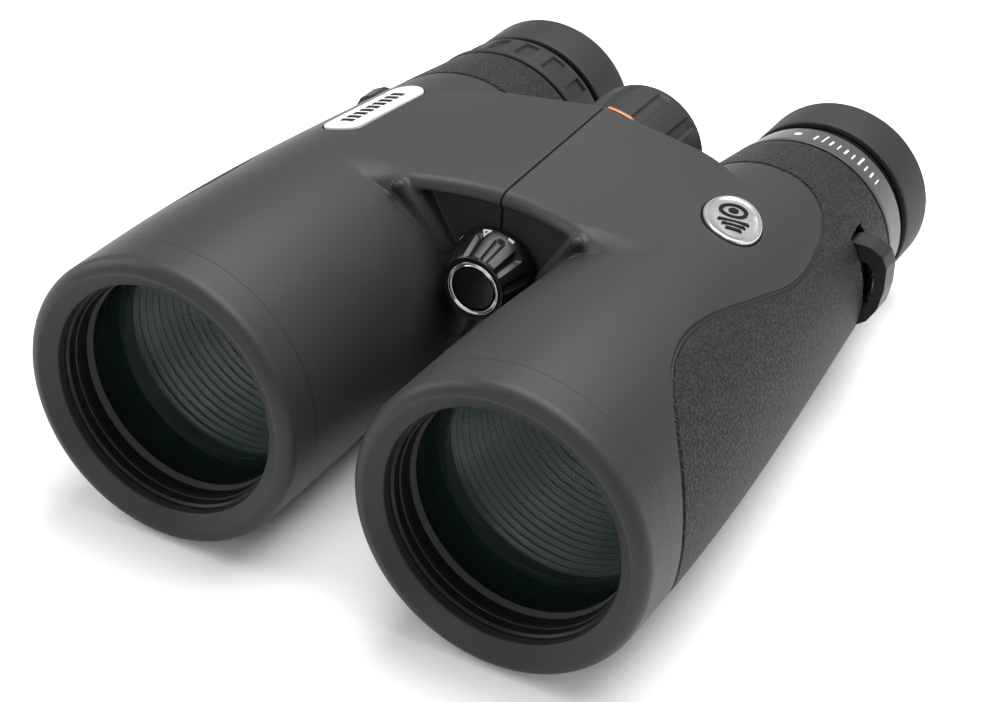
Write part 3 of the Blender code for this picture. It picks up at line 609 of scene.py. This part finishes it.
def grip_table():
    """Signed distance to the grip line over the unrolled barrel, out to FAR, negative where pebbled."""
    arcs = GRIP_LOW[0] + GRIP_STEP * np.arange(GRIP_COUNT[0])
    stations = GRIP_LOW[1] + GRIP_STEP * np.arange(GRIP_COUNT[1])
    table = np.full(GRIP_COUNT, FAR)
    for (ax, ay), (bx, by) in zip(GRIP_POINTS, GRIP_POINTS[1:]):
        i = np.searchsorted(arcs, [min(ax, bx) - FAR, max(ax, bx) + FAR])
        j = np.searchsorted(stations, [min(ay, by) - FAR, max(ay, by) + FAR])
        x, y = arcs[i[0]:i[1], None] - ax, stations[None, j[0]:j[1]] - ay
        dx, dy = bx - ax, by - ay
        t = np.clip((x * dx + y * dy) / (dx * dx + dy * dy), 0, 1)
        part = table[i[0]:i[1], j[0]:j[1]]
        np.minimum(part, np.hypot(x - t * dx, y - t * dy), out=part)
    inside = np.zeros(GRIP_COUNT, bool)
    a, b = GRIP_POINTS, np.roll(GRIP_POINTS, -1, axis=0)
    for j, station in enumerate(stations):
        hit = (a[:, 1] > station) != (b[:, 1] > station)
        cross = a[hit, 0] + (station - a[hit, 1]) / (b[hit, 1] - a[hit, 1]) * (b[hit, 0] - a[hit, 0])
        inside[:, j] = np.searchsorted(np.sort(cross), arcs) % 2 == 1
    beyond = np.abs(arcs)[:, None] > GRIP_POINTS[0][0]
    ring = np.where(beyond, np.abs(stations[None] - COLLAR), FAR)
    table = np.minimum(table, ring)
    return np.where(inside | (stations[None] >= COLLAR), -table, table)


GRIP_TABLE = grip_table()


def grip_distance(u, y, z):
    """Distance along the surface to the grip line, negative on the pebbled side."""
    arc = np.arctan2(z, u - BARREL_X) * barrel_radius(y)
    i = np.clip((arc - GRIP_LOW[0]) / GRIP_STEP, 0, GRIP_COUNT[0] - 1.001)
    j = np.clip((y - GRIP_LOW[1]) / GRIP_STEP, 0, GRIP_COUNT[1] - 1.001)
    a, b = i.astype(int), j.astype(int)
    s, t = i - a, j - b
    low = GRIP_TABLE[a, b] * (1 - s) + GRIP_TABLE[a + 1, b] * s
    high = GRIP_TABLE[a, b + 1] * (1 - s) + GRIP_TABLE[a + 1, b + 1] * s
    return low * (1 - t) + high * t


BADGES = {
    LEFT: {"station": 88.6, "angle": 81.6, "tilt": 24.0, "across": 12.7, "along": 20.0, "oval": True},
    RIGHT: {"station": 90.0, "angle": 76.0, "tilt": 0.0, "across": 8.6, "along": 33.0, "oval": False},
}


def badge_distance(u, y, z, badge, grow=0.0):
    """Distance along the surface to a badge's outline, negative under the badge."""
    angle = np.arctan2(z, u - BARREL_X)
    reach = float(barrel_radius(np.array(badge["station"])))
    across = (math.radians(badge["angle"]) - angle) * reach
    along = y - badge["station"]
    tilt = math.radians(badge["tilt"])
    p = across * math.cos(tilt) + along * math.sin(tilt)
    q = -across * math.sin(tilt) + along * math.cos(tilt)
    a, b = badge["across"] / 2 + grow, badge["along"] / 2 + grow
    if badge["oval"]:
        k = np.hypot(p / a, q / b)
        return (k - 1) * k / np.maximum(np.hypot(p / a**2, q / b**2), 1e-6)
    return np.hypot(p, np.maximum(np.abs(q) - (b - a), 0)) - a


def armour_field(side, fine):
    """The distance field of one armour half, with x measured away from the hinge line."""
    badge = BADGES[side]

    def field(points):
        u, y, z = points
        r = np.hypot(u - BARREL_X, z)
        body = both((r - barrel_radius(y)) * 0.998, -1.0 - y, 3.0)
        body = both(body, y - ARMOUR_REAR, 1.2)
        top = bridge_top(u, y)
        fillet = 2.6 * smooth(0.6, 5.0, top - z) + 0.02
        solid = either(body, bridge(u, y, z), fillet)
        solid = either(solid, rib(u, y, z), 1.3)
        solid = both(solid, cleft(u, z), 0.35)
        solid = both(solid, -hollow(u, y, z), 0.12)
        if fine:
            surface = r - barrel_radius(y)
            depth = np.clip(1.0 - (grip_distance(u, y, z) / 0.62) ** 2, 0, 1) * 0.62
            near = np.abs(surface) < 1.6
            solid = solid + np.where(near & (y > 10), depth, 0.0)
            cut = both(badge_distance(u, y, z, badge, 0.3), -surface - 1.25)
            solid = both(solid, np.where(near & (z > 0), -cut, -1e3), 0.2)
        return solid

    return field


def surface_net(field, low, high, steps):
    """Vertices and quads of the zero level of a field on a grid with its own step for each axis."""
    axes = [np.arange(a, b + step, step) for a, b, step in zip(low, high, steps)]
    grid = np.meshgrid(*axes, indexing="ij")
    values = field(np.stack([g.ravel() for g in grid])).reshape(grid[0].shape)
    inside = values < 0
    cells = tuple(n - 1 for n in inside.shape)
    total = np.zeros(cells, int)
    for i in (0, 1):
        for j in (0, 1):
            for k in (0, 1):
                total += inside[i:i + cells[0], j:j + cells[1], k:k + cells[2]]
    mixed = (total > 0) & (total < 8)
    index = np.full(cells, -1)
    index[mixed] = np.arange(mixed.sum())
    where = np.argwhere(mixed)
    sums, hits = np.zeros((len(where), 3)), np.zeros(len(where))
    corners = [np.array((i, j, k)) for i in (0, 1) for j in (0, 1) for k in (0, 1)]
    for a in corners:
        for axis in range(3):
            if a[axis]:
                continue
            b = a.copy()
            b[axis] = 1
            va, vb = values[tuple((where + a).T)], values[tuple((where + b).T)]
            cross = (va < 0) != (vb < 0)
            t = np.where(cross, va / np.where(cross, va - vb, 1.0), 0.0)
            sums += np.where(cross[:, None], where + a + t[:, None] * (b - a), 0.0)
            hits += cross
    points = sums / hits[:, None] * np.array(steps) + np.array(low)
    quads = []
    for axis in range(3):
        lead = [slice(None)] * 3
        lag = [slice(None)] * 3
        lead[axis], lag[axis] = slice(1, None), slice(None, -1)
        change = inside[tuple(lag)] != inside[tuple(lead)]
        rising = inside[tuple(lag)]
        others = [n for n in range(3) if n != axis]
        spots = np.argwhere(change)
        keep = np.all([(spots[:, n] > 0) & (spots[:, n] < cells[n]) for n in others], axis=0)
        spots = spots[keep]
        offsets = [(0, 0), (1, 0), (1, 1), (0, 1)]
        ring = []
        for a, b in offsets:
            cell = spots.copy()
            cell[:, others[0]] -= a
            cell[:, others[1]] -= b
            ring.append(index[tuple(cell.T)])
        quad = np.stack(ring, 1)
        flip = rising[tuple(spots.T)] ^ (axis == 1)
        quads.append(np.where(flip[:, None], quad[:, ::-1], quad))
    return points, np.vstack(quads)


def gradient(field, points, reach=0.03):
    made = []
    for axis in range(3):
        step = np.zeros((3, 1))
        step[axis] = reach
        made.append((field(points.T + step) - field(points.T - step)) / (2 * reach))
    return np.stack(made, 1)


def settle(field, points, rounds=3, limit=0.6):
    """Move points to the field's zero level along its gradient."""
    for _ in range(rounds):
        slope = gradient(field, points)
        steep = np.maximum((slope**2).sum(1), 0.05)
        shift = -field(points.T)[:, None] * slope / steep[:, None]
        size = np.linalg.norm(shift, axis=1, keepdims=True)
        points = points + shift * np.minimum(1, limit / np.maximum(size, 1e-9))
    return points


def split_edges(points, triangles, wanted):
    """Halve the edges that wanted(points, edges) marks, and split the triangles round them."""
    sides = np.stack([triangles[:, [0, 1]], triangles[:, [1, 2]], triangles[:, [2, 0]]], 1)
    edges, back = np.unique(np.sort(sides.reshape(-1, 2), axis=1), axis=0, return_inverse=True)
    marked_edges = wanted(points, edges)
    fresh = np.full(len(edges), -1)
    fresh[marked_edges] = len(points) + np.arange(marked_edges.sum())
    chosen = edges[marked_edges]
    middles = (points[chosen[:, 0]] + points[chosen[:, 1]]) / 2
    mids = fresh[back.reshape(-1, 3)]
    count = (mids >= 0).sum(1)
    made = [triangles[count == 0]]
    for turn in range(3):
        t, m = np.roll(triangles, -turn, axis=1), np.roll(mids, -turn, axis=1)
        one = (count == 1) & (m[:, 0] >= 0)
        a, b, c = t[one].T
        ab = m[one][:, 0]
        made += [np.stack([a, ab, c], 1), np.stack([ab, b, c], 1)]
        two = (count == 2) & (m[:, 0] >= 0) & (m[:, 1] >= 0)
        a, b, c = t[two].T
        ab, bc = m[two][:, 0], m[two][:, 1]
        made += [np.stack([ab, b, bc], 1), np.stack([a, ab, bc], 1), np.stack([a, bc, c], 1)]
    three = count == 3
    a, b, c = triangles[three].T
    ab, bc, ca = mids[three].T
    made += [np.stack(s, 1) for s in ((a, ab, ca), (ab, b, bc), (ca, bc, c), (ab, bc, ca))]
    return np.vstack([points, middles]), np.vstack(made), len(points)


def make_armour(label, side):
    coarse, fine = armour_field(side, False), armour_field(side, True)
    points, quads = surface_net(coarse, (-0.6, -2.4, -33.0), (71.0, 139.6, 33.4), (0.9, 1.35, 0.9))
    points = settle(coarse, points)
    triangles = np.vstack([quads[:, [0, 1, 2]], quads[:, [0, 2, 3]]])
    badge = BADGES[side]

    def outer(p):
        return np.hypot(p[:, 0] - BARREL_X, p[:, 2]) > barrel_radius(p[:, 1]) - 1.4

    def near_detail(p):
        u, y, z = p.T
        line = np.abs(grip_distance(u, y, z))
        plate = np.abs(badge_distance(u, y, z, badge, 0.3))
        return np.where(outer(p) & (y > 10), np.minimum(line, np.where(z > 0, plate, 99)), 99)

    for bend, shortest, band in ((9, 0.6, 1.9), (10, 0.42, 1.2), (12, 0.3, 0.8), (17, 0.24, 0.0)):
        slope = gradient(coarse if band else fine, points)
        slope /= np.maximum(np.linalg.norm(slope, axis=1, keepdims=True), 1e-9)
        detail = near_detail(points)
        shown = outer(points) | (points[:, 0] < 26) | (points[:, 1] < 4)

        def wanted(p, edges, slope=slope, detail=detail, shown=shown, bend=bend, shortest=shortest, band=band):
            a, b = edges.T
            length = np.linalg.norm(p[a] - p[b], axis=1)
            angle = (slope[a] * slope[b]).sum(1) < math.cos(math.radians(bend))
            return (length > shortest) & ((angle & shown[a] & shown[b]) | (np.minimum(detail[a], detail[b]) < band))

        points, triangles, old = split_edges(points, triangles, wanted)
        target = coarse if band > 1.2 else fine
        if band > 1.2:
            points[old:] = settle(target, points[old:], 2)
        else:
            points = settle(target, points, 2, 0.3)
    points = settle(fine, points, 2, 0.2)
    u, y, z = points.T
    mask = smooth(0.05, -0.35, grip_distance(u, y, z)) * outer(points) * (y > 8)
    seen = points.copy()
    seen[:, 0] = np.minimum(points[:, 0], CAD_BOX[1][0] / MM - 0.002) * side
    seen[:, 2] = np.clip(z, (CAD_BOX[0][2] - AXIS_Z) / MM + 0.002, (CAD_BOX[1][2] - AXIS_Z) / MM - 0.002)
    if side < 0:
        triangles = triangles[:, ::-1]
    slope = gradient(fine, points, 0.06)
    slope /= np.maximum(np.linalg.norm(slope, axis=1, keepdims=True), 1e-9)
    slope[:, 0] *= side
    obj = add_piece(label + "_armour_shell", seen, triangles.tolist(), label + "_barrel", "rubber_armour",
                    [label + "_armour"], sharp=None, attributes=[("grip", mask)])  # fmt: skip
    if len(obj.data.vertices) == len(slope):
        obj.data.normals_split_custom_set_from_vertices(slope.tolist())
    print(label, "armour triangles", len(triangles), flush=True)


# ---------------------------------------------------------------- optics


def arc_line(start, end, radius, count=14):
    """A lens surface from its centre station to its edge station."""
    shares = np.linspace(0, 1, count)
    return [(start + (end - start) * t**2, radius * t, 0) for t in shares]


def make_lens(name, axis, radius, front, rear, body, node):
    loop = arc_line(*front, radius) + arc_line(*rear, radius)[::-1]
    turned(name, loop, axis, body, "coated_glass", [node], ease=0, segments=128, open_axis=True, sharp=40)


def make_objective(label, side):
    axis, body = (side * BARREL_X, 0.0), label + "_barrel"
    ring = [(3.45, 26.7), (3.45, 24.8), (3.95, 24.35), (5.9, 24.35), (6.0, 24.12), (6.6, 23.95), (9.15, 23.95),
            (9.15, 26.7)]  # fmt: skip
    turned(label + "_retaining_ring", ring, axis, body, "black_plastic", [label + "_objective_retainer"], ease=0.08)
    bevel = [(9.3, 24.6), (9.3, 24.05), (10.9, 23.62), (11.05, 24.6)]
    turned(label + "_lens_bevel", bevel, axis, body, "coated_glass", ease=0.04, material="lens_edge")
    cell = [(9.4, 26.7), (9.4, 25.45), (21.95, 25.45), (21.95, 23.6), (24.3, 23.6), (24.3, 26.7)]
    turned(label + "_lens_cell", cell, axis, body, "black_alloy", [label + "_objective_cell"], ease=0.1)
    make_lens(label + "_front_element", axis, 25.2, (9.2, 11.4), (18.2, 16.2), body, label + "_objective_front_lens")
    make_lens(label + "_rear_element", axis, 25.2, (18.6, 16.6), (20.9, 21.6), body, label + "_objective_rear_lens")
    start, end, wide, narrow, ridges = 24.6, 83.5, 26.2, 18.3, 30
    loop = [(start, wide), (end, narrow), (end, narrow - 2.0)]
    for i in reversed(range(ridges)):
        station = start + (end - start) * i / ridges
        inner = wide + (narrow - wide) * (i + 0.5) / ridges - 1.1
        loop += [(station + 1.5, inner), (station + 0.5, inner - 0.75), (station + 0.25, inner - 0.75)]
    loop[-1] = (start, loop[-1][1])
    turned(label + "_baffle_ridges", loop, axis, body, "black_plastic", [label + "_baffle_tube"], ease=0, segments=128,
           material="baffle", sharp=20)  # fmt: skip


# ---------------------------------------------------------------- eyepieces


def notches(count, depth, low, high, share, slope=0.16, taper=0.5):
    """A radius change for turned(): recesses between two stations, each a share of the pitch wide."""

    def shape(stations, radii, turns):
        phase = (turns * count / math.tau) % 1.0
        across = smooth(0, slope, phase) * smooth(share + slope, share, phase)
        along = smooth(low, low + taper, stations) * smooth(high, high - taper, stations)
        return radii - depth * across * along * (radii > RING_CORE)

    return shape


RING_CORE = 12.95
COPPER_TOP = 30.3


def index_marks(stations, radii, turns):
    """White ticks round the index ring, with a dot at the top."""
    angle = np.degrees((turns - math.pi / 2 + math.pi) % math.tau - math.pi)
    ticks = (np.abs((angle + 7.5) % 5 - 2.5) < 0.55) & (np.abs(angle + 22) < 26)
    long_tick = np.abs((angle + 7.5) % 25 - 2.5) < 0.6
    band = (stations > 141.2) & (stations < np.where(long_tick, 145.6, 144.0)) & (radii > 18)
    dot = np.hypot((angle - 12) * 0.37, stations - 143.0) < 0.85
    return np.where((ticks & band) | (dot & (radii > 18)), 1.0, 0.0)


def make_eyepiece(label, side):
    axis, barrel = (side * BARREL_X, 0.0), label + "_barrel"
    tube = [(131.0, 18.0), (136.9, 18.0), (137.0, 16.5), (161.0, 16.5), (161.0, 15.0), (131.0, 15.0)]
    turned(label + "_eyepiece_barrel", tube, axis, barrel, "black_alloy", [label + "_eyepiece_tube"])
    if side == LEFT:
        loop = [(138.0, 16.8), (138.0, 22.25), (139.2, 22.2), (147.8, 20.95), (147.8, 16.8)]
        turned("left_index_band", loop, axis, barrel, "index_ring_metal", ["left_index_ring"], ease=0.25,
               segments=900, extra=[(138.5, 147.5, 0.35)], ink=index_marks)  # fmt: skip
        collar = 148.1
    else:
        loop = [(137.9, 16.8), (137.9, 22.2), (138.2, 22.5), (139.6, 22.55), (140.0, 22.0), (147.9, 21.5),
                (149.0, 21.3), (149.0, 16.8)]  # fmt: skip
        turned("right_dioptre_ring", loop, axis, "dioptre_ring", "black_plastic", ["dioptre_ring"], ease=0.18,
               segments=720, extra=[(139.8, 149.0, 0.3)], shape=notches(18, 0.8, 140.4, 148.0, 0.46, 0.06, 0.4),
               material="soft_rubber")  # fmt: skip
        collar = 149.3
    ocular = barrel if side == LEFT else "right_ocular"
    cell = [(134.0, 14.7), (158.6, 14.7), (158.6, 11.0), (157.2, 11.0), (157.0, 12.9), (134.0, 12.9)]
    turned(label + "_ocular_housing", cell, axis, ocular, "black_alloy", [label + "_ocular_cell"])
    make_lens(label + "_ocular_field_lens", axis, 12.6, (136.4, 138.2), (141.0, 140.2), ocular, label + "_field_lens")
    make_lens(label + "_ocular_eye_lens", axis, 12.6, (149.6, 151.4), (156.9, 155.6), ocular, label + "_eye_lens")
    guide = [(collar, 16.8), (collar, 19.6), (151.3, 19.6), (151.3, 17.5), (160.6, 17.5), (160.6, 16.8)]
    turned(label + "_guide_collar", guide, axis, label + "_cup_guide", "black_plastic", [label + "_cup_guide"],
           material="gloss_plastic")  # fmt: skip
    sleeve = [(151.6, 17.8), (151.6, 19.2), (164.0, 19.2), (164.0, 17.8)]
    turned(label + "_cup_sleeve", sleeve, axis, label + "_eyecup", "black_alloy", [label + "_eyecup_sleeve"])
    cup = [(151.6, 19.5), (151.6, 20.9, 0.5), (152.6, 21.0), (163.6, 21.0, 1.8), (166.0, 19.6, 1.0),
           (166.0, 17.2, 0.5), (165.2, 16.6), (164.3, 17.0), (164.3, 19.5)]  # fmt: skip
    turned(label + "_cup_rubber", cup, axis, label + "_eyecup", "soft_rubber", [label + "_eyecup"], ease=0.3)


# ---------------------------------------------------------------- hinge, wheel and cap


def copper_crest(stations, radii, turns):
    """The ring's top, on the left barrel's half, stands up into view behind the bridge."""
    crest = smooth(62, 70, np.degrees(turns)) * smooth(93, 88, np.degrees(turns))
    return radii + (COPPER_TOP - HINGE_Z - 14.3) * crest * (radii > 14.0)


def make_hinge():
    axis, body = (0.0, HINGE_Z), "left_barrel"
    ring = [(112.6, 14.3), (113.5, 14.3), (113.5, 4.3), (112.6, 4.3)]
    turned("copper_ring", ring, axis, body, "copper_accent", ["accent_ring"], ease=0.15, segments=360,
           shape=copper_crest)  # fmt: skip
    tube = [(99.3, 3.9), (117.6, 3.9), (117.6, 2.95), (99.3, 2.95)]
    turned("rear_hinge_sleeve", tube, axis, body, "steel", ["hinge_sleeve"], segments=64)
    socket = [(66.2, 5.0), (80.7, 5.0), (80.7, 3.2), (66.2, 3.2)]
    turned("thread_socket", socket, axis, body, "steel", ["tripod_socket"], segments=64)


def make_wheel():
    axis, body = (0.0, HINGE_Z), "focus_wheel"
    grip = [(113.8, 12.95), (113.8, 13.6, 0.4), (115.4, 14.5, 2), (121.0, 14.6, 2), (131.0, 14.6, 3),
            (136.2, 14.2, 1.2), (137.2, 12.9, 0.6), (137.2, 8.0), (136.5, 8.0), (136.5, 12.95)]  # fmt: skip
    turned("wheel_grip", grip, axis, body, "soft_rubber", ["focus_wheel_grip"], ease=0.25, segments=576,
           extra=[(113.9, 137.1, 0.5)], shape=notches(11, 0.6, 116.4, 134.4, 0.34, 0.07, 0.8))  # fmt: skip
    core = [(114.0, 12.6), (136.2, 12.6), (136.2, 4.0), (132.0, 4.0), (132.0, 5.6), (118.4, 5.6), (118.4, 4.2),
            (114.0, 4.2)]  # fmt: skip
    turned("wheel_core", core, axis, body, "black_alloy", ["focus_wheel_core"])
    disc = [(136.8, 0, 0), (136.8, 7.7), (137.1, 7.6), (137.35, 6.2), (137.4, 0, 0)]
    turned("wheel_end_disc", disc, axis, body, "black_plastic", ["focus_wheel_cap"], open_axis=True, segments=96)


def cap_marks(stations, radii, turns):
    """White ticks near the rear edge of the cap, and a small outlined triangle at its top."""
    angle = np.degrees((turns - math.pi / 2 + math.pi) % math.tau - math.pi)
    made = np.zeros(len(turns))
    for place in (-24, 54):
        made[(np.abs(angle - place) < 4.5) & (np.abs(stations - 64.7) < 0.28) & (radii > 8)] = 1.0
    across, along = np.abs(angle - 10) * 0.167, stations - 63.0
    outer = (along < 1.9) & (along > 0.0) & (across < along * 0.62)
    inner = (along < 1.45) & (along > 0.6) & (across < (along - 0.45) * 0.5)
    made[outer & ~inner & (radii > 8)] = 1.0
    return made


def flutes(stations, radii, turns):
    """Twelve finger flutes that run out before the rear edge."""
    phase = (turns * 12 / math.tau) % 1.0
    across = np.clip(1 - ((phase - 0.5) / 0.27) ** 2, 0, 1)
    along = smooth(55.9, 57.6, stations) * smooth(64.0, 62.6, stations)
    return radii - 0.6 * across * along * (radii > 7.15)


def make_cap():
    axis, body = (0.0, HINGE_Z), "tripod_cap"
    loop = [(57.7, 0, 0), (57.7, 6.15), (56.5, 6.15), (56.5, 6.95, 0.3), (57.1, 7.35), (65.0, 9.72, 0.4),
            (65.8, 9.75, 0.3), (65.8, 5.2), (64.45, 5.2), (64.4, 2.85), (77.0, 2.85), (77.0, 0, 0)]  # fmt: skip
    turned("cap_body", loop, axis, body, "gloss_plastic", ["tripod_cap"], ease=0.12, segments=540, open_axis=True,
           extra=[(56.6, 65.7, 0.24)], shape=flutes, ink=cap_marks, sharp=50)  # fmt: skip
    ring = [(56.55, 5.9), (56.5, 5.75), (56.9, 5.35), (56.5, 5.05), (57.4, 5.0), (57.4, 5.9)]
    turned("cap_bright_ring", ring, axis, body, "chrome", ["tripod_cap_ring"], ease=0.12, segments=128)
    disc = arc_line(56.55, 56.85, 4.6, 8) + [(57.4, 4.65), (57.4, 0, 0)]
    turned("cap_face_disc", disc, axis, body, "gloss_plastic", ["tripod_cap_disc"], ease=0.1, segments=96,
           open_axis=True)  # fmt: skip
    washer = [(64.7, 4.8), (65.6, 4.8), (65.6, 3.3), (64.7, 3.3)]
    turned("cap_washer_ring", washer, axis, "cap_washer", "soft_rubber", ["tripod_cap_washer"], ease=0.3, segments=96)


# ---------------------------------------------------------------- strap lugs and badges


def prism_of(name, outline, span, place, body, slot, nodes=(), bevel=0.4, holes=(), material=None, steps=4):
    """An outline (with holes) made solid between two depths, then placed and given rounded edges."""
    curve = bpy.data.curves.new(name, "CURVE")
    curve.dimensions = "2D"
    curve.fill_mode = "BOTH"
    curve.extrude = (span[1] - span[0]) / 2
    for ring in (outline, *holes):
        spline = curve.splines.new("POLY")
        spline.points.add(len(ring) - 1)
        for point, spot in zip(spline.points, ring):
            point.co = (*spot, 0, 1)
        spline.use_cyclic_u = True
    guide = bpy.data.objects.new(name + "_guide", curve)
    bpy.context.scene.collection.objects.link(guide)
    bpy.context.view_layer.update()
    mesh = bpy.data.meshes.new_from_object(guide.evaluated_get(bpy.context.evaluated_depsgraph_get()))
    bpy.data.objects.remove(guide)
    work = bmesh.new()
    work.from_mesh(mesh)
    bmesh.ops.remove_doubles(work, verts=work.verts, dist=1e-4)
    bmesh.ops.dissolve_limit(work, angle_limit=0.01, verts=work.verts, edges=work.edges)
    work.to_mesh(mesh)
    work.free()
    points = np.array([v.co for v in mesh.vertices])
    points[:, 2] += (span[0] + span[1]) / 2
    obj = add_piece(name, place(points), [list(f.vertices) for f in mesh.polygons], body, slot, nodes, material)
    if bevel:
        rounding = obj.modifiers.new("rounding", "BEVEL")
        rounding.width = bevel * MM
        rounding.segments = steps
        rounding.limit_method = "ANGLE"
        rounding.angle_limit = math.radians(35)
        rounding.use_clamp_overlap = True
        rounding.harden_normals = False
    return obj


def softened(points, radius, steps=5):
    """An outline with rounded corners."""
    return [tuple(p) for p in eased([(a + 1e3, b + 1e3) for a, b in points], radius, steps)]


LUG_OUTLINE = ((57.6, 12.9), (62.8, 12.9), (65.9, 11.4), (67.2, 8.8), (67.3, 3.6), (66.4, -1.4), (64.4, -4.9),
               (61.8, -6.9), (57.6, -7.3))  # fmt: skip
LUG_SLOT = ((57.0, 9.0), (62.4, 9.0), (64.4, 7.4), (64.8, 4.0), (64.3, 0.2), (62.4, -3.4), (57.0, -3.6))


def make_lug(label, side):
    def place(points):
        return np.stack([side * (points[:, 0] - 1e3 - 0.8), 121.0 + points[:, 2], points[:, 1] - 1e3], 1)

    outer = softened(LUG_OUTLINE, 1.6)
    hole = softened(LUG_SLOT, 1.4)
    prism_of(label + "_strap_loop", outer, (-2.7, 2.7), place, label + "_barrel", "chassis", [label + "_strap_lug"],
             bevel=0.75, holes=(hole,))  # fmt: skip


def badge_frame(side):
    """A function from (across, along, height) on a badge to the body's places."""
    badge = BADGES[side]
    turn, tilt = math.radians(badge["angle"]), math.radians(badge["tilt"])
    station = badge["station"]
    radius = float(barrel_radius(np.array(station)))
    lean = float(barrel_radius(np.array(station + 5.0)) - barrel_radius(np.array(station - 5.0))) / 10

    def place(points):
        p, q, height = points.T
        across = p * math.cos(tilt) - q * math.sin(tilt)
        along = p * math.sin(tilt) + q * math.cos(tilt)
        sag = across**2 / (2 * radius) * 0.8
        reach = radius + lean * along + height - sag
        u = BARREL_X + reach * math.cos(turn) + across * math.sin(turn)
        z = reach * math.sin(turn) - across * math.cos(turn)
        return np.stack([side * u, station + along, z], 1)

    return place


def badge_edge(badge, inset, count=96):
    """The badge's outline moved inwards."""
    a, b = badge["across"] / 2 - inset, badge["along"] / 2 - inset
    turns = np.arange(count) * math.tau / count
    if badge["oval"]:
        return np.stack([a * np.cos(turns), b * np.sin(turns)], 1)
    return np.stack([a * np.cos(turns), a * np.sin(turns) + np.where(turns < math.pi, b - a, a - b)], 1)


def make_badge(side):
    badge = BADGES[side]
    label, node, body = ("oval", "oval_badge", "left_barrel") if badge["oval"] else ("pill", "pill_badge", "right_barrel")
    place = badge_frame(side)
    count = 120
    lift = 0.3 if badge["oval"] else 0.05
    rows = [(0.15, -1.0), (0.05, -0.1), (0.05, lift), (0.15, lift + 0.22), (0.4, lift + 0.34), (0.75, lift + 0.3),
            (0.95, lift + 0.1), (1.1, lift)]  # fmt: skip
    rows += [(1.1 + (badge["across"] / 2 - 1.15) * t, lift + 0.25 * (1 - (1 - t) ** 2)) for t in (0.25, 0.5, 0.75, 1)]
    points = [np.column_stack([badge_edge(badge, inset, count), np.full(count, high)]) for inset, high in rows]
    points = np.vstack(points)
    faces = []
    for i in range(len(rows) - 1):
        for j in range(count):
            k = (j + 1) % count
            faces.append((i * count + j, i * count + k, (i + 1) * count + k, (i + 1) * count + j))
    faces.append(tuple(range(count))[::-1])
    last = (len(rows) - 1) * count
    faces.append(tuple(range(last, last + count)))
    add_piece(label + "_badge_plate", place(points), faces, body, "badge_silver", [node],
              sharp=40, material=None if badge["oval"] else "badge_white")  # fmt: skip
    marks = []
    if badge["oval"]:
        def ring(radius, centre, squash=1.0, points=40):
            return [(centre[0] + radius * squash * math.cos(t), centre[1] + radius * math.sin(t))
                    for t in np.arange(points) * math.tau / points]  # fmt: skip

        marks.append((ring(3.1, (0, 2.6)), [ring(2.3, (0, 2.6))]))
        marks.append((ring(1.1, (0, 2.6)), []))
        for i, half in enumerate((3.4, 2.6, 1.8)):
            y = -2.4 - i * 1.7
            marks.append(([(-half, y), (half, y), (half - 0.3, y + 0.9), (-half + 0.3, y + 0.9)], []))
        top = lift + 0.33
    else:
        for i in range(9):
            y = -11.2 + i * 2.5
            marks.append(([(-1.5, y), (1.5, y), (1.5, y + 1.3), (-1.5, y + 1.3)], []))
        top = lift + 0.28
    for number, (outline, holes) in enumerate(marks):
        prism_of(f"{label}_badge_mark_{number:02d}", outline, (top - 0.3, top + 0.12), place, body, "badge_silver",
                 bevel=0, holes=holes, material="badge_ink")  # fmt: skip


make_camera()
make_stage()
for label, side in SIDES:
    make_armour(label, side)
    make_objective(label, side)
    make_eyepiece(label, side)
    make_lug(label, side)
    make_badge(side)
make_hinge()
make_wheel()
make_cap()

for name, node in frame["nodes"].items():
    if not node.hide_render:
        part = next(p for p in frame["record"]["subparts"] if p["node"] == name)
        node.data.materials.clear()
        node.data.materials.append(MATERIALS[part["material_slot"]])
